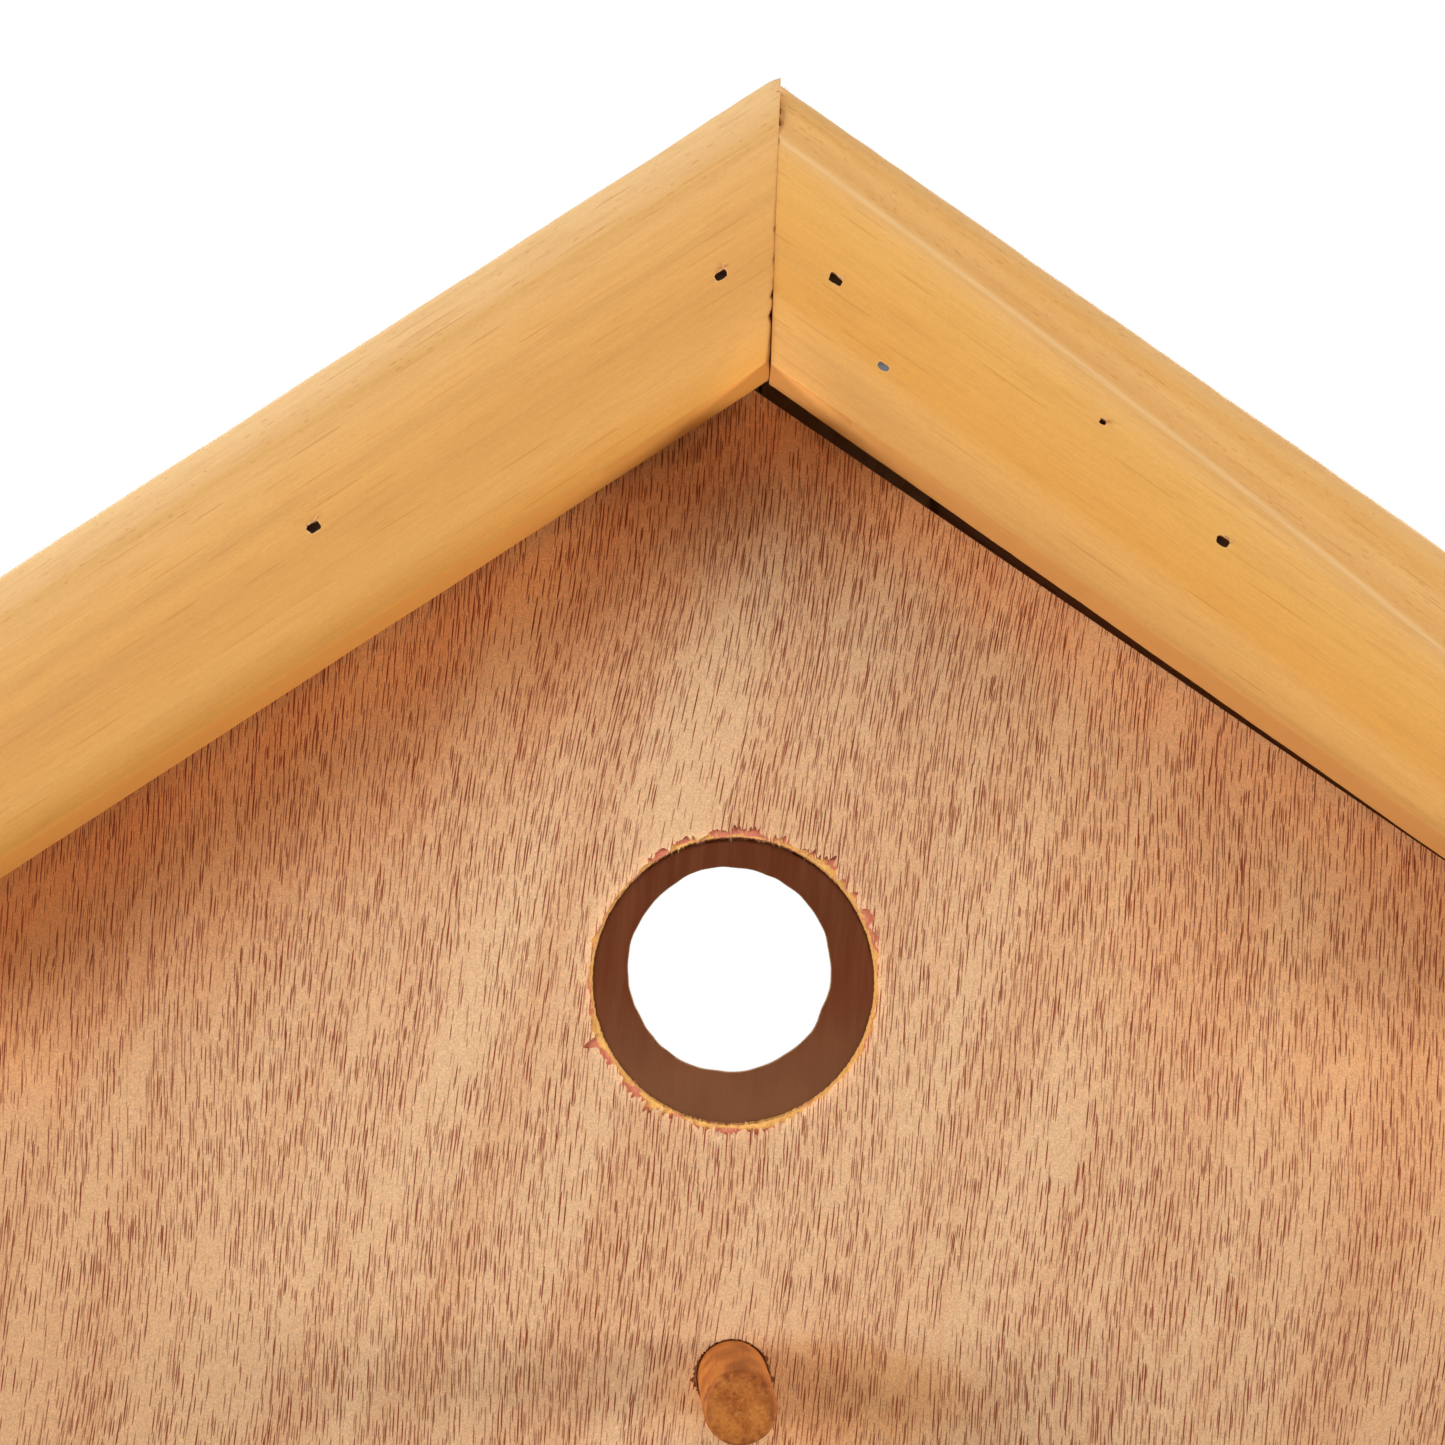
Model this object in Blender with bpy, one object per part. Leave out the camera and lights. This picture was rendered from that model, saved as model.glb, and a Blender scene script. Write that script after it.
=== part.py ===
"""Gabled wooden birdhouse: plywood fronts, softwood boards, mitred bargeboard trims.

Metres, +Z up.  The origin is the middle of the floor board's underside.  The entrance side
faces -Y and +X is on the right of someone who looks at the entrance.  The right side is a door
that swings out on two pivot nails; a wooden turn button on the floor's edge locks it shut.
"""

import math

import bmesh
import bpy
from mathutils import Matrix, Vector

MM = 0.001
GAP = 0.3 * MM

# Body: two plywood fronts with the boards between them.
HALF_W = 93.0 * MM
PLY_T = 5.0 * MM
NEST_D = 126.3 * MM
BOARD_T = 12.0 * MM
PANEL_Y = NEST_D / 2 + PLY_T

# Roof.
SLOPE = math.radians(34.33)
RIDGE_Z = 203.6 * MM
ROOF_T = 18.0 * MM
ROOF_LEN = 143.0 * MM
ROOF_OVERHANG = 3.0 * MM

# Gable edges of the plywood: the left edge is hidden by the trim, the right one is cut short.
PANEL_LEFT_PEAK_Z = 175.1 * MM
PANEL_RIGHT_PEAK_Z = 170.2 * MM
PANEL_RIGHT_SLOPE = math.radians(33.49)

# Bargeboard trims.
TRIM_W = 26.5 * MM
TRIM_T = 12.0 * MM
TRIM_TOP_BEVEL = (6.2 * MM, 2.4 * MM)
TRIM_BOTTOM_ROUND = (3.6 * MM, 3.2 * MM)
MITRE_FOOT_X = 0.30 * MM
MITRE_LEAN = math.radians(0.98)

# Cleats glued under the roof behind each front.
CLEAT_W = 20.0 * MM
CLEAT_T = 12.0 * MM
CLEAT_START_X = 20.0 * MM

# Entrance, the matching hole in the back, and the perch.
HOLE_R = 16.0 * MM
HOLE_X = -2.4 * MM
HOLE_Z = 104.1 * MM
HOLE_SIDES = 64
PERCH_R = 3.9 * MM
PERCH_X = -1.7 * MM
PERCH_Z = 60.5 * MM
PERCH_OUT = 21.0 * MM
PERCH_IN = 6.0 * MM
PERCH_ROUND = 0.8 * MM
PERCH_LEAN = math.radians(2.0)
PERCH_DROOP = math.radians(0.6)

# Swing-out door on the right side, its pivots and its stops.
DOOR_TOP_Z = 100.0 * MM
DOOR_FOOT_CLEARANCE = 0.8 * MM
DOOR_SIDE_CLEARANCE = 0.7 * MM
RAIL_FOOT_Z = 102.5 * MM
PIVOT_X = HALF_W - BOARD_T / 2
PIVOT_Z = 92.0 * MM
PIVOT_R = 1.0 * MM
PIVOT_HEAD_R = 2.4 * MM
PIVOT_HEAD_T = 1.0 * MM
PIVOT_LEN = 17.0 * MM
STOP_SIZE = 10.0 * MM
STOP_TOP_Z = 87.0 * MM

# Turn button on the floor's right edge.
BUTTON_T = 3.0 * MM
BUTTON_W = 9.0 * MM
BUTTON_REACH = 19.5 * MM
SCREW_R = 1.5 * MM
SCREW_HEAD_R = 3.2 * MM
SCREW_HEAD_T = 1.7 * MM
SCREW_LEN = 15.0 * MM

# Screw eye on the ridge.
EYE_R = 6.0 * MM
EYE_WIRE_R = 1.2 * MM
EYE_NECK = 3.0 * MM
EYE_SHANK = 20.0 * MM

# Machine-driven brads with T heads.
BRAD_HEAD = (1.8 * MM, 1.0 * MM, 0.5 * MM)
BRAD_SHANK = (1.1 * MM, 0.8 * MM)
BRAD_SINK = 0.7 * MM
BRAD_LEN = 25.0 * MM
BRAD_STUB_LEN = 9.0 * MM
BRAD_STUB_SINK = 0.15 * MM

# Brads in the front trims: along the slope from the ridge, and down across the trim's face.
LEFT_TRIM_BRADS = ((17.2 * MM, 15.8 * MM), (69.2 * MM, 14.8 * MM), (121.0 * MM, 14.6 * MM))
RIGHT_TRIM_BRADS = (
    (18.9 * MM, 14.9 * MM),
    (51.6 * MM, 10.9 * MM),
    (69.6 * MM, 14.1 * MM),
    (121.5 * MM, 14.4 * MM),
)
RIGHT_TRIM_STUB = (28.7 * MM, 19.8 * MM)
BACK_TRIM_BRADS = ((18.0 * MM, 14.5 * MM), (69.0 * MM, 14.2 * MM), (121.0 * MM, 14.8 * MM))
WALL_BRAD_HEIGHTS = (24.0 * MM, 40.0 * MM, 88.0 * MM)
FLOOR_BRAD_XS = (-62.0 * MM, 0.0, 62.0 * MM)
RAIL_BRAD_Z = 107.0 * MM
ROOF_BRAD_YS = (-44.0 * MM, 0.0, 44.0 * MM)
ROOF_BRAD_ALONG = 118.5 * MM

# Colour, roughness and metallic value of each finish.
FINISHES = {
    "veneer": ((0.65, 0.36, 0.18), 0.62, 0.0),
    "trim_wood": ((0.77, 0.41, 0.14), 0.48, 0.0),
    "board_wood": ((0.72, 0.45, 0.22), 0.65, 0.0),
    "dowel_wood": ((0.42, 0.13, 0.05), 0.55, 0.0),
    "steel": ((0.32, 0.31, 0.30), 0.38, 1.0),
}


def clear_scene():
    """Remove every object, so that the script can be run again in an open file."""
    for thing in list(bpy.data.objects):
        bpy.data.objects.remove(thing, do_unlink=True)


def finish(name, slot):
    """Return a new Principled material for one piece, from the table of finishes."""
    colour, roughness, metallic = FINISHES[slot]
    material = bpy.data.materials.new(f"{name}_{slot}")
    material.use_nodes = True
    shader = material.node_tree.nodes["Principled BSDF"]
    shader.inputs["Base Color"].default_value = (*colour, 1.0)
    shader.inputs["Roughness"].default_value = roughness
    shader.inputs["Metallic"].default_value = metallic
    material.diffuse_color = (*colour, 1.0)
    return material


def add_object(name, shape, slot=None, pivot=None):
    """Turn a bmesh into an object, with its origin at pivot; no slot makes a hidden cutter."""
    bmesh.ops.recalc_face_normals(shape, faces=shape.faces)
    if pivot is not None:
        bmesh.ops.translate(shape, verts=shape.verts, vec=-Vector(pivot))
    mesh = bpy.data.meshes.new(name)
    shape.to_mesh(mesh)
    shape.free()
    thing = bpy.data.objects.new(name, mesh)
    thing.location = pivot or (0.0, 0.0, 0.0)
    bpy.context.scene.collection.objects.link(thing)
    if slot is None:
        thing.hide_render = True
        thing.display_type = "WIRE"
    else:
        mesh.materials.append(finish(name, slot))
    return thing


def shade_round(thing, angle=40.0):
    """Shade a round piece smooth, with its corners kept sharp."""
    thing.data.shade_smooth()
    thing.data.set_sharp_from_angle(angle=math.radians(angle))


def cut(thing, cutter):
    """Take a cutter's shape out of a piece."""
    modifier = thing.modifiers.new(f"cut_{cutter.name}", "BOOLEAN")
    modifier.operation = "DIFFERENCE"
    modifier.solver = "EXACT"
    modifier.object = cutter


def box(shape, low, high, turn=None):
    """Add a box between two corners to a bmesh, turned afterwards by a matrix."""
    low, high = Vector(low), Vector(high)
    size = Matrix.Diagonal((high - low).to_4d())
    size[3][3] = 1.0
    place = (turn or Matrix()) @ Matrix.Translation((low + high) / 2) @ size
    return bmesh.ops.create_cube(shape, size=1.0, matrix=place)["verts"]


def rod(shape, start, end, radius, sides=24, end_radius=None):
    """Add a straight round rod or cone from start to end to a bmesh."""
    start, end = Vector(start), Vector(end)
    along = end - start
    place = Matrix.Translation((start + end) / 2) @ along.to_track_quat("Z", "Y").to_matrix().to_4x4()
    return bmesh.ops.create_cone(
        shape,
        cap_ends=True,
        segments=sides,
        radius1=radius,
        radius2=radius if end_radius is None else end_radius,
        depth=along.length,
        matrix=place,
    )["verts"]


def board(name, slot, low, high):
    """Make a plain rectangular board."""
    shape = bmesh.new()
    box(shape, low, high)
    return add_object(name, shape, slot)


def gable_prism(name, slot, outline, y_low, y_high):
    """Extrude an outline of (x, z) points from y_low to y_high."""
    shape = bmesh.new()
    corners = [shape.verts.new((x, y_low, z)) for x, z in outline]
    face = shape.faces.new(corners)
    grown = bmesh.ops.extrude_face_region(shape, geom=[face])["geom"]
    far = [item for item in grown if isinstance(item, bmesh.types.BMVert)]
    bmesh.ops.translate(shape, verts=far, vec=(0.0, y_high - y_low, 0.0))
    return add_object(name, shape, slot)


def roof_point(side, along, down):
    """Return (x, z) at a distance along the slope from the ridge and down into the roof."""
    x = along * math.cos(SLOPE) - down * math.sin(SLOPE)
    z = RIDGE_Z - along * math.sin(SLOPE) - down * math.cos(SLOPE)
    return side * x, z


def slope_z(x, down):
    """Return the height over x of a plane parallel to the roof, down below its top."""
    return RIDGE_Z - down / math.cos(SLOPE) - abs(x) * math.tan(SLOPE)


def cut_plane_points(side, x, down_top, down_bottom):
    """Return two (x, z) points where a vertical cut at x meets two depths of the roof."""
    return [(side * x, slope_z(x, down_top)), (side * x, slope_z(x, down_bottom))]


def panel_outline():
    """Return the five corners of a plywood front."""
    left_tan = math.tan(SLOPE)
    right_tan = math.tan(PANEL_RIGHT_SLOPE)
    peak_x = -(PANEL_LEFT_PEAK_Z - PANEL_RIGHT_PEAK_Z) / (left_tan + right_tan)
    peak_z = PANEL_LEFT_PEAK_Z + peak_x * left_tan
    return [
        (-HALF_W, 0.0),
        (HALF_W, 0.0),
        (HALF_W, PANEL_RIGHT_PEAK_Z - HALF_W * right_tan),
        (peak_x, peak_z),
        (-HALF_W, PANEL_LEFT_PEAK_Z - HALF_W * left_tan),
    ]


def perch_axis():
    """Return the perch's direction out of the panel: a little to the right and down."""
    return Vector((math.sin(PERCH_LEAN), -1.0, -math.sin(PERCH_DROOP))).normalized()


def trim_profile():
    """Return the trim's section as (down, depth) points, depth from its front face."""
    top_w, top_d = TRIM_TOP_BEVEL
    low_w, low_d = TRIM_BOTTOM_ROUND
    points = [(0.0, TRIM_T)]
    for step in range(4):
        angle = math.pi / 2 * step / 3
        points.append((top_w * (1 - math.cos(angle)), top_d * (1 - math.sin(angle))))
    for step in range(5):
        angle = math.pi / 2 * step / 4
        points.append((TRIM_W - low_w * (1 - math.sin(angle)), low_d * (1 - math.cos(angle))))
    points.append((TRIM_W, TRIM_T))
    return points


def mitre_along(side, down):
    """Return how far along the slope a line at this depth meets the leaning mitre."""
    foot_z = slope_z(0.0, TRIM_W)
    tilt = math.tan(MITRE_LEAN)
    x_cut = MITRE_FOOT_X + side * GAP / 2
    x0, z0 = roof_point(side, 0.0, down)
    run = side * math.cos(SLOPE) + tilt * math.sin(SLOPE)
    return (x_cut + tilt * (z0 - foot_z) - x0) / run


def trim(name, side, facing):
    """Make one mitred trim; facing is -1 at the front and +1 at the back."""
    shape = bmesh.new()
    face_y = facing * (PANEL_Y + ROOF_OVERHANG + TRIM_T)
    rings = []
    for at_ridge in (True, False):
        ring = []
        for down, depth in trim_profile():
            along = mitre_along(side, down) if at_ridge else ROOF_LEN
            x, z = roof_point(side, along, down)
            ring.append(shape.verts.new((x, face_y - facing * depth, z)))
        rings.append(ring)
    ridge_cap = shape.faces.new(rings[0])
    eave_cap = shape.faces.new(rings[1])
    edges = list(ridge_cap.edges) + list(eave_cap.edges)
    bmesh.ops.bridge_loops(shape, edges=edges)
    return add_object(name, shape, "trim_wood")


def roof_board(name, side):
    """Make one roof board, cut plumb at the ridge and square at the eave."""
    reach = PANEL_Y + ROOF_OVERHANG - GAP
    outline = cut_plane_points(side, GAP / 2, 0.0, ROOF_T)
    outline += [roof_point(side, ROOF_LEN, ROOF_T), roof_point(side, ROOF_LEN, 0.0)]
    return gable_prism(name, "board_wood", outline, -reach, reach)


def cleat(name, side, facing):
    """Make one cleat under the roof, against the inside of a front."""
    top, bottom = ROOF_T + GAP, ROOF_T + GAP + CLEAT_W
    outline = cut_plane_points(side, CLEAT_START_X, top, bottom)
    outline += reversed(cut_plane_points(side, HALF_W - BOARD_T - GAP, top, bottom))
    near = facing * (NEST_D / 2 - GAP)
    far = facing * (NEST_D / 2 - GAP - CLEAT_T)
    return gable_prism(name, "board_wood", outline, min(near, far), max(near, far))


def side_board(name, side, foot_z):
    """Make a side board between the fronts, from foot_z up to the bevel under the roof."""
    inner = HALF_W - BOARD_T
    down = ROOF_T + GAP
    outline = [(side * inner, foot_z), (side * HALF_W, foot_z)]
    outline += [(side * HALF_W, slope_z(HALF_W, down)), (side * inner, slope_z(inner, down))]
    reach = NEST_D / 2 - GAP
    return gable_prism(name, "board_wood", outline, -reach, reach)


def brad_frame(point, inward, roll):
    """Return a matrix with its origin at a brad's mouth and +Z along its shank."""
    inward = Vector(inward).normalized()
    frame = inward.to_track_quat("Z", "Y").to_matrix().to_4x4()
    return Matrix.Translation(point) @ frame @ Matrix.Rotation(roll, 4, "Z")


def stepped_pin(shape, place, top, sink, length, spare):
    """Add a flat head, inset and extruded into its shank, to a bmesh; spare widens it all."""
    head_w, head_h = (size + 2 * spare for size in BRAD_HEAD[:2])
    foot = sink + BRAD_HEAD[2] + spare
    pin = bmesh.new()
    box(pin, (-head_w / 2, -head_h / 2, top), (head_w / 2, head_h / 2, foot))
    inner = max(pin.faces, key=lambda face: face.calc_center_median().z)
    shank = bmesh.ops.extrude_discrete_faces(pin, faces=[inner])["faces"][0]
    slim = [(size + 2 * spare) / wide for size, wide in zip(BRAD_SHANK, (head_w, head_h))]
    bmesh.ops.scale(pin, verts=shank.verts, vec=(*slim, 1.0))
    tip = bmesh.ops.extrude_discrete_faces(pin, faces=[shank])["faces"][0]
    bmesh.ops.translate(pin, verts=tip.verts, vec=(0.0, 0.0, length + spare - foot))
    bmesh.ops.transform(pin, matrix=place, verts=pin.verts)
    bmesh.ops.recalc_face_normals(pin, faces=pin.faces)
    part = bpy.data.meshes.new("pin")
    pin.to_mesh(part)
    pin.free()
    shape.from_mesh(part)
    bpy.data.meshes.remove(part)


def brad(name, place, sink, length):
    """Make a brad, its head sunk a little under the surface."""
    shape = bmesh.new()
    stepped_pin(shape, place, sink, sink, length, 0.0)
    return add_object(name, shape, "steel")


def brad_row(prefix, places, targets, short=()):
    """Make numbered brads and cut their holes through every board that they pass."""
    holes = bmesh.new()
    for number, place in enumerate(places, start=1):
        sink, length = (BRAD_STUB_SINK, BRAD_STUB_LEN) if place in short else (BRAD_SINK, BRAD_LEN)
        brad(f"{prefix}_{number}", place, sink, length)
        stepped_pin(holes, place, -2 * MM, sink, length, GAP)
    cutter = add_object(f"{prefix}_holes", holes)
    for target in targets:
        cut(target, cutter)


def trim_brad_place(side, facing, along, down):
    """Return the place of a trim brad, its head lying along the slope."""
    x, z = roof_point(side, along, down)
    point = (x, facing * (PANEL_Y + ROOF_OVERHANG + TRIM_T), z)
    return brad_frame(point, (0.0, -facing, 0.0), -facing * side * SLOPE)


def panel_brad_places(facing):
    """Return the places of the brads through one front: wall, floor and rail."""
    spots = [(-HALF_W + BOARD_T / 2, z) for z in WALL_BRAD_HEIGHTS]
    spots += [(x, BOARD_T / 2) for x in FLOOR_BRAD_XS]
    spots.append((PIVOT_X, RAIL_BRAD_Z))
    return [brad_frame((x, facing * PANEL_Y, z), (0.0, -facing, 0.0), 0.0) for x, z in spots]


def roof_brad_places(side):
    """Return the places of the brads through one roof board into the side below it."""
    x, z = roof_point(side, ROOF_BRAD_ALONG, 0.0)
    inward = (-side * math.sin(SLOPE), 0.0, -math.cos(SLOPE))
    return [brad_frame((x, y, z), inward, 0.0) for y in ROOF_BRAD_YS]


def entrance_cutter():
    """Make the one drill that passes through both fronts."""
    shape = bmesh.new()
    reach = PANEL_Y + 10 * MM
    rod(shape, (HOLE_X, -reach, HOLE_Z), (HOLE_X, reach, HOLE_Z), HOLE_R, HOLE_SIDES)
    return add_object("entrance_drill", shape)


def perch(panel):
    """Make the dowel perch with its rounded tip, and drill the front for it."""
    root = Vector((PERCH_X, -PANEL_Y, PERCH_Z))
    axis = perch_axis()
    shape = bmesh.new()
    rod(shape, root - axis * PERCH_IN, root + axis * PERCH_OUT, PERCH_R, 32)
    tip = max(shape.faces, key=lambda face: (face.calc_center_median() - root).dot(axis))
    bmesh.ops.bevel(
        shape,
        geom=list(tip.edges),
        offset=PERCH_ROUND,
        segments=3,
        profile=0.5,
        affect="EDGES",
        material=-1,
    )
    shade_round(add_object("perch", shape, "dowel_wood"))
    drill = bmesh.new()
    rod(drill, root - axis * 12 * MM, root + axis * 12 * MM, PERCH_R + GAP, 32)
    cut(panel, add_object("perch_drill", drill))


def door_and_pivots(front, back):
    """Make the swing-out door, its two pivot nails and the holes they pass through."""
    half = NEST_D / 2 - DOOR_SIDE_CLEARANCE
    hinge = (PIVOT_X, 0.0, PIVOT_Z)
    shape = bmesh.new()
    box(shape, (HALF_W - BOARD_T, -half, BOARD_T + DOOR_FOOT_CLEARANCE), (HALF_W, half, DOOR_TOP_Z))
    door = add_object("swing_door", shape, "board_wood", hinge)
    drill = bmesh.new()
    for facing, name in ((-1, "front_pivot_nail"), (1, "back_pivot_nail")):
        collar = Vector((PIVOT_X, facing * (PANEL_Y + GAP), PIVOT_Z))
        outward = Vector((0.0, facing, 0.0))
        rod(drill, collar + outward * 5 * MM, collar - outward * (PIVOT_LEN + GAP), PIVOT_R + GAP)
        shape = bmesh.new()
        rod(shape, collar, collar + outward * PIVOT_HEAD_T, PIVOT_HEAD_R)
        foot = min(shape.faces, key=lambda face: (face.calc_center_median() - collar).dot(outward))
        centre = foot.calc_center_median()
        stem = bmesh.ops.extrude_discrete_faces(shape, faces=[foot])["faces"][0]
        shrink = Matrix.Diagonal((PIVOT_R / PIVOT_HEAD_R, 1.0, PIVOT_R / PIVOT_HEAD_R, 1.0))
        space = Matrix.Translation(-centre)
        bmesh.ops.transform(shape, matrix=shrink, space=space, verts=stem.verts)
        point = bmesh.ops.extrude_discrete_faces(shape, faces=[stem])["faces"][0]
        bmesh.ops.translate(shape, verts=point.verts, vec=-outward * PIVOT_LEN)
        shade_round(add_object(name, shape, "steel"))
    cutter = add_object("pivot_drill", drill)
    for target in (door, front, back):
        cut(target, cutter)


def door_stops():
    """Make the two glued corner blocks that the door closes against."""
    right = HALF_W - BOARD_T - GAP
    near = NEST_D / 2 - GAP
    for name, facing in (("front_right_stop", -1), ("back_right_stop", 1)):
        ends = sorted((facing * near, facing * (near - STOP_SIZE)))
        low = (right - STOP_SIZE, ends[0], BOARD_T + GAP)
        high = (right, ends[1], STOP_TOP_Z)
        board(name, "board_wood", low, high)


def turn_button(floor):
    """Make the wooden turn button, its screw, and the hole for it in the floor's edge."""
    centre = Vector((HALF_W + GAP, 0.0, BOARD_T / 2))
    shape = bmesh.new()
    half = BUTTON_W / 2
    box(shape, (0.0, -half, -half), (BUTTON_T, BUTTON_REACH, half))
    upright = [edge for edge in shape.edges if abs(edge.verts[0].co.x - edge.verts[1].co.x) > MM]
    bmesh.ops.bevel(
        shape,
        geom=upright,
        offset=half * 0.6,
        segments=4,
        profile=0.5,
        affect="EDGES",
        material=-1,
    )
    bmesh.ops.translate(shape, verts=shape.verts, vec=centre)
    button = add_object("turn_button", shape, "trim_wood", tuple(centre))
    drill = bmesh.new()
    inward = Vector((-1.0, 0.0, 0.0))
    rod(drill, centre - inward * 10 * MM, centre + inward * 12.5 * MM, SCREW_R + GAP)
    cutter = add_object("turn_button_drill", drill)
    cut(button, cutter)
    cut(floor, cutter)
    turn_button_screw(centre + Vector((BUTTON_T + GAP, 0.0, 0.0)))


def turn_button_screw(collar):
    """Make the round-headed slotted screw that holds the turn button."""
    shape = bmesh.new()
    rod(shape, collar, collar + Vector((SCREW_HEAD_T, 0.0, 0.0)), SCREW_HEAD_R, 32, SCREW_HEAD_R * 0.72)
    foot = min(shape.faces, key=lambda face: face.calc_center_median().x)
    stem = bmesh.ops.extrude_discrete_faces(shape, faces=[foot])["faces"][0]
    shrink = Matrix.Diagonal((1.0, SCREW_R / SCREW_HEAD_R, SCREW_R / SCREW_HEAD_R, 1.0))
    bmesh.ops.transform(shape, matrix=shrink, space=Matrix.Translation(-collar), verts=stem.verts)
    point = bmesh.ops.extrude_discrete_faces(shape, faces=[stem])["faces"][0]
    bmesh.ops.translate(shape, verts=point.verts, vec=(-SCREW_LEN, 0.0, 0.0))
    screw = add_object("turn_button_screw", shape, "steel")
    slot = bmesh.new()
    top = collar.x + SCREW_HEAD_T
    half = 0.4 * MM
    box(slot, (top - 0.7 * MM, -5 * MM, collar.z - half), (top + MM, 5 * MM, collar.z + half))
    cut(screw, add_object("screw_slot_cutter", slot))
    shade_round(screw)


def hanging_eye(roof_boards):
    """Make the screw eye on the ridge and drill the ridge joint for its shank."""
    ring_z = RIDGE_Z + EYE_NECK + EYE_R
    shape = bmesh.new()
    start = Vector((0.0, 0.0, ring_z - EYE_R))
    wire = bmesh.ops.create_circle(
        shape,
        cap_ends=False,
        segments=12,
        radius=EYE_WIRE_R,
        matrix=Matrix.Translation(start) @ Matrix.Rotation(math.pi / 2, 4, "X"),
    )["verts"]
    edges = list({edge for vert in wire for edge in vert.link_edges})
    bmesh.ops.spin(
        shape,
        geom=wire + edges,
        cent=(0.0, 0.0, ring_z),
        axis=(1.0, 0.0, 0.0),
        angle=2 * math.pi,
        steps=28,
        use_merge=True,
    )
    eye = add_object("hanging_eye", shape, "steel")
    shank = bmesh.new()
    rod(shank, (0.0, 0.0, ring_z - EYE_R), (0.0, 0.0, RIDGE_Z - EYE_SHANK), EYE_WIRE_R * 0.95, 12)
    joint = eye.modifiers.new("shank", "BOOLEAN")
    joint.operation = "UNION"
    joint.solver = "EXACT"
    joint.object = add_object("hanging_eye_shank", shank)
    shade_round(eye)
    drill = bmesh.new()
    rod(drill, (0.0, 0.0, RIDGE_Z + 5 * MM), (0.0, 0.0, RIDGE_Z - 30 * MM), EYE_WIRE_R + GAP, 16)
    cutter = add_object("hanging_eye_drill", drill)
    for target in roof_boards:
        cut(target, cutter)


def build():
    """Build the whole birdhouse."""
    clear_scene()
    front = gable_prism("front_panel", "veneer", panel_outline(), -PANEL_Y, -PANEL_Y + PLY_T)
    back = gable_prism("back_panel", "veneer", panel_outline(), PANEL_Y - PLY_T, PANEL_Y)
    reach = NEST_D / 2 - GAP
    floor = board("floor_board", "board_wood", (-HALF_W, -reach, 0.0), (HALF_W, reach, BOARD_T))
    wall = side_board("left_wall", -1, BOARD_T + GAP)
    rail = side_board("right_top_rail", 1, RAIL_FOOT_Z)
    roofs = {-1: roof_board("left_roof_board", -1), 1: roof_board("right_roof_board", 1)}
    sides = {-1: wall, 1: rail}
    side_names = {-1: "left", 1: "right"}
    front_brads = {-1: LEFT_TRIM_BRADS, 1: RIGHT_TRIM_BRADS + (RIGHT_TRIM_STUB,)}

    drill = entrance_cutter()
    cut(front, drill)
    cut(back, drill)
    perch(front)
    door_and_pivots(front, back)
    door_stops()
    turn_button(floor)
    hanging_eye(list(roofs.values()))

    for facing, end in ((-1, "front"), (1, "back")):
        for side, hand in side_names.items():
            cleat(f"{end}_{hand}_cleat", side, facing)
            piece = trim(f"{end}_{hand}_trim", side, facing)
            spots = front_brads[side] if facing < 0 else BACK_TRIM_BRADS
            places = [trim_brad_place(side, facing, *spot) for spot in spots]
            stubs = [place for place, spot in zip(places, spots) if spot == RIGHT_TRIM_STUB]
            brad_row(f"{end}_{hand}_trim_brad", places, [piece, roofs[side]], stubs)
        panel = front if facing < 0 else back
        brad_row(f"{end}_panel_brad", panel_brad_places(facing), [panel, wall, floor, rail])
    for side, hand in side_names.items():
        brad_row(f"{hand}_roof_brad", roof_brad_places(side), [roofs[side], sides[side]])


build()
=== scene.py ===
"""Finished look of a gabled wooden birdhouse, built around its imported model.

Plywood fronts, softwood boards and mitred barge trims are modelled piece by piece over the
model's nodes, in metres, in the same frame: -Y is out of the entrance and +Z is up.
"""

import logging
import math
import random
from collections.abc import Callable, Iterable, Sequence
from dataclasses import dataclass, field
from enum import Enum

import bmesh
import bpy
from mathutils import Matrix, Vector, noise


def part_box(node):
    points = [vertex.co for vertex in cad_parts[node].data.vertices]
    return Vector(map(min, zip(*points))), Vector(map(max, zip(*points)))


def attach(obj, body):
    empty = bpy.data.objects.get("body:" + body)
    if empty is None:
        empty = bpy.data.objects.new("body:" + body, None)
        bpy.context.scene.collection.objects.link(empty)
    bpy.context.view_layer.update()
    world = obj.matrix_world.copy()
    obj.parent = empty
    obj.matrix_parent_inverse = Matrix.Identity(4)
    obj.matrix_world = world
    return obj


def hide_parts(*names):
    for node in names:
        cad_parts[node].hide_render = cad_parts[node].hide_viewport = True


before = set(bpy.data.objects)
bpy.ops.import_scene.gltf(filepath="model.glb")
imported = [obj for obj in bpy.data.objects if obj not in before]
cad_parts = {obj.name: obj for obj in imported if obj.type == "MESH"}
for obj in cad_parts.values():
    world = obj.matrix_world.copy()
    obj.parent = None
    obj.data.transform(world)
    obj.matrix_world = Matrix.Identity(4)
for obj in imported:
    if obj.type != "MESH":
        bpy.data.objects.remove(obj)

LOG = logging.getLogger("birdhouse")
MM = 0.001
HOUSE = "house"
RING_PERIOD = 0.314  # spacing of a Wave texture's rings at scale 1
ENTRANCE = (-2.4 * MM, 104.1 * MM)
PERCH_HOLE = (-1.7 * MM, 60.5 * MM)
GAP = 0.3 * MM
STUB_BRAD = "front_right_trim_brad_5"

Colour = tuple[float, float, float]
Point2 = tuple[float, float]
Bands = tuple[tuple[float, Colour], ...]
Socket = bpy.types.NodeSocket
Vert = bmesh.types.BMVert
Shape = bmesh.types.BMesh


class Side(Enum):
    """Which half of the house a piece belongs to, as the sign of its x."""

    LEFT = -1
    RIGHT = 1


class End(Enum):
    """Which gable a piece belongs to, as the sign of its y."""

    FRONT = -1
    BACK = 1


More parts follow.
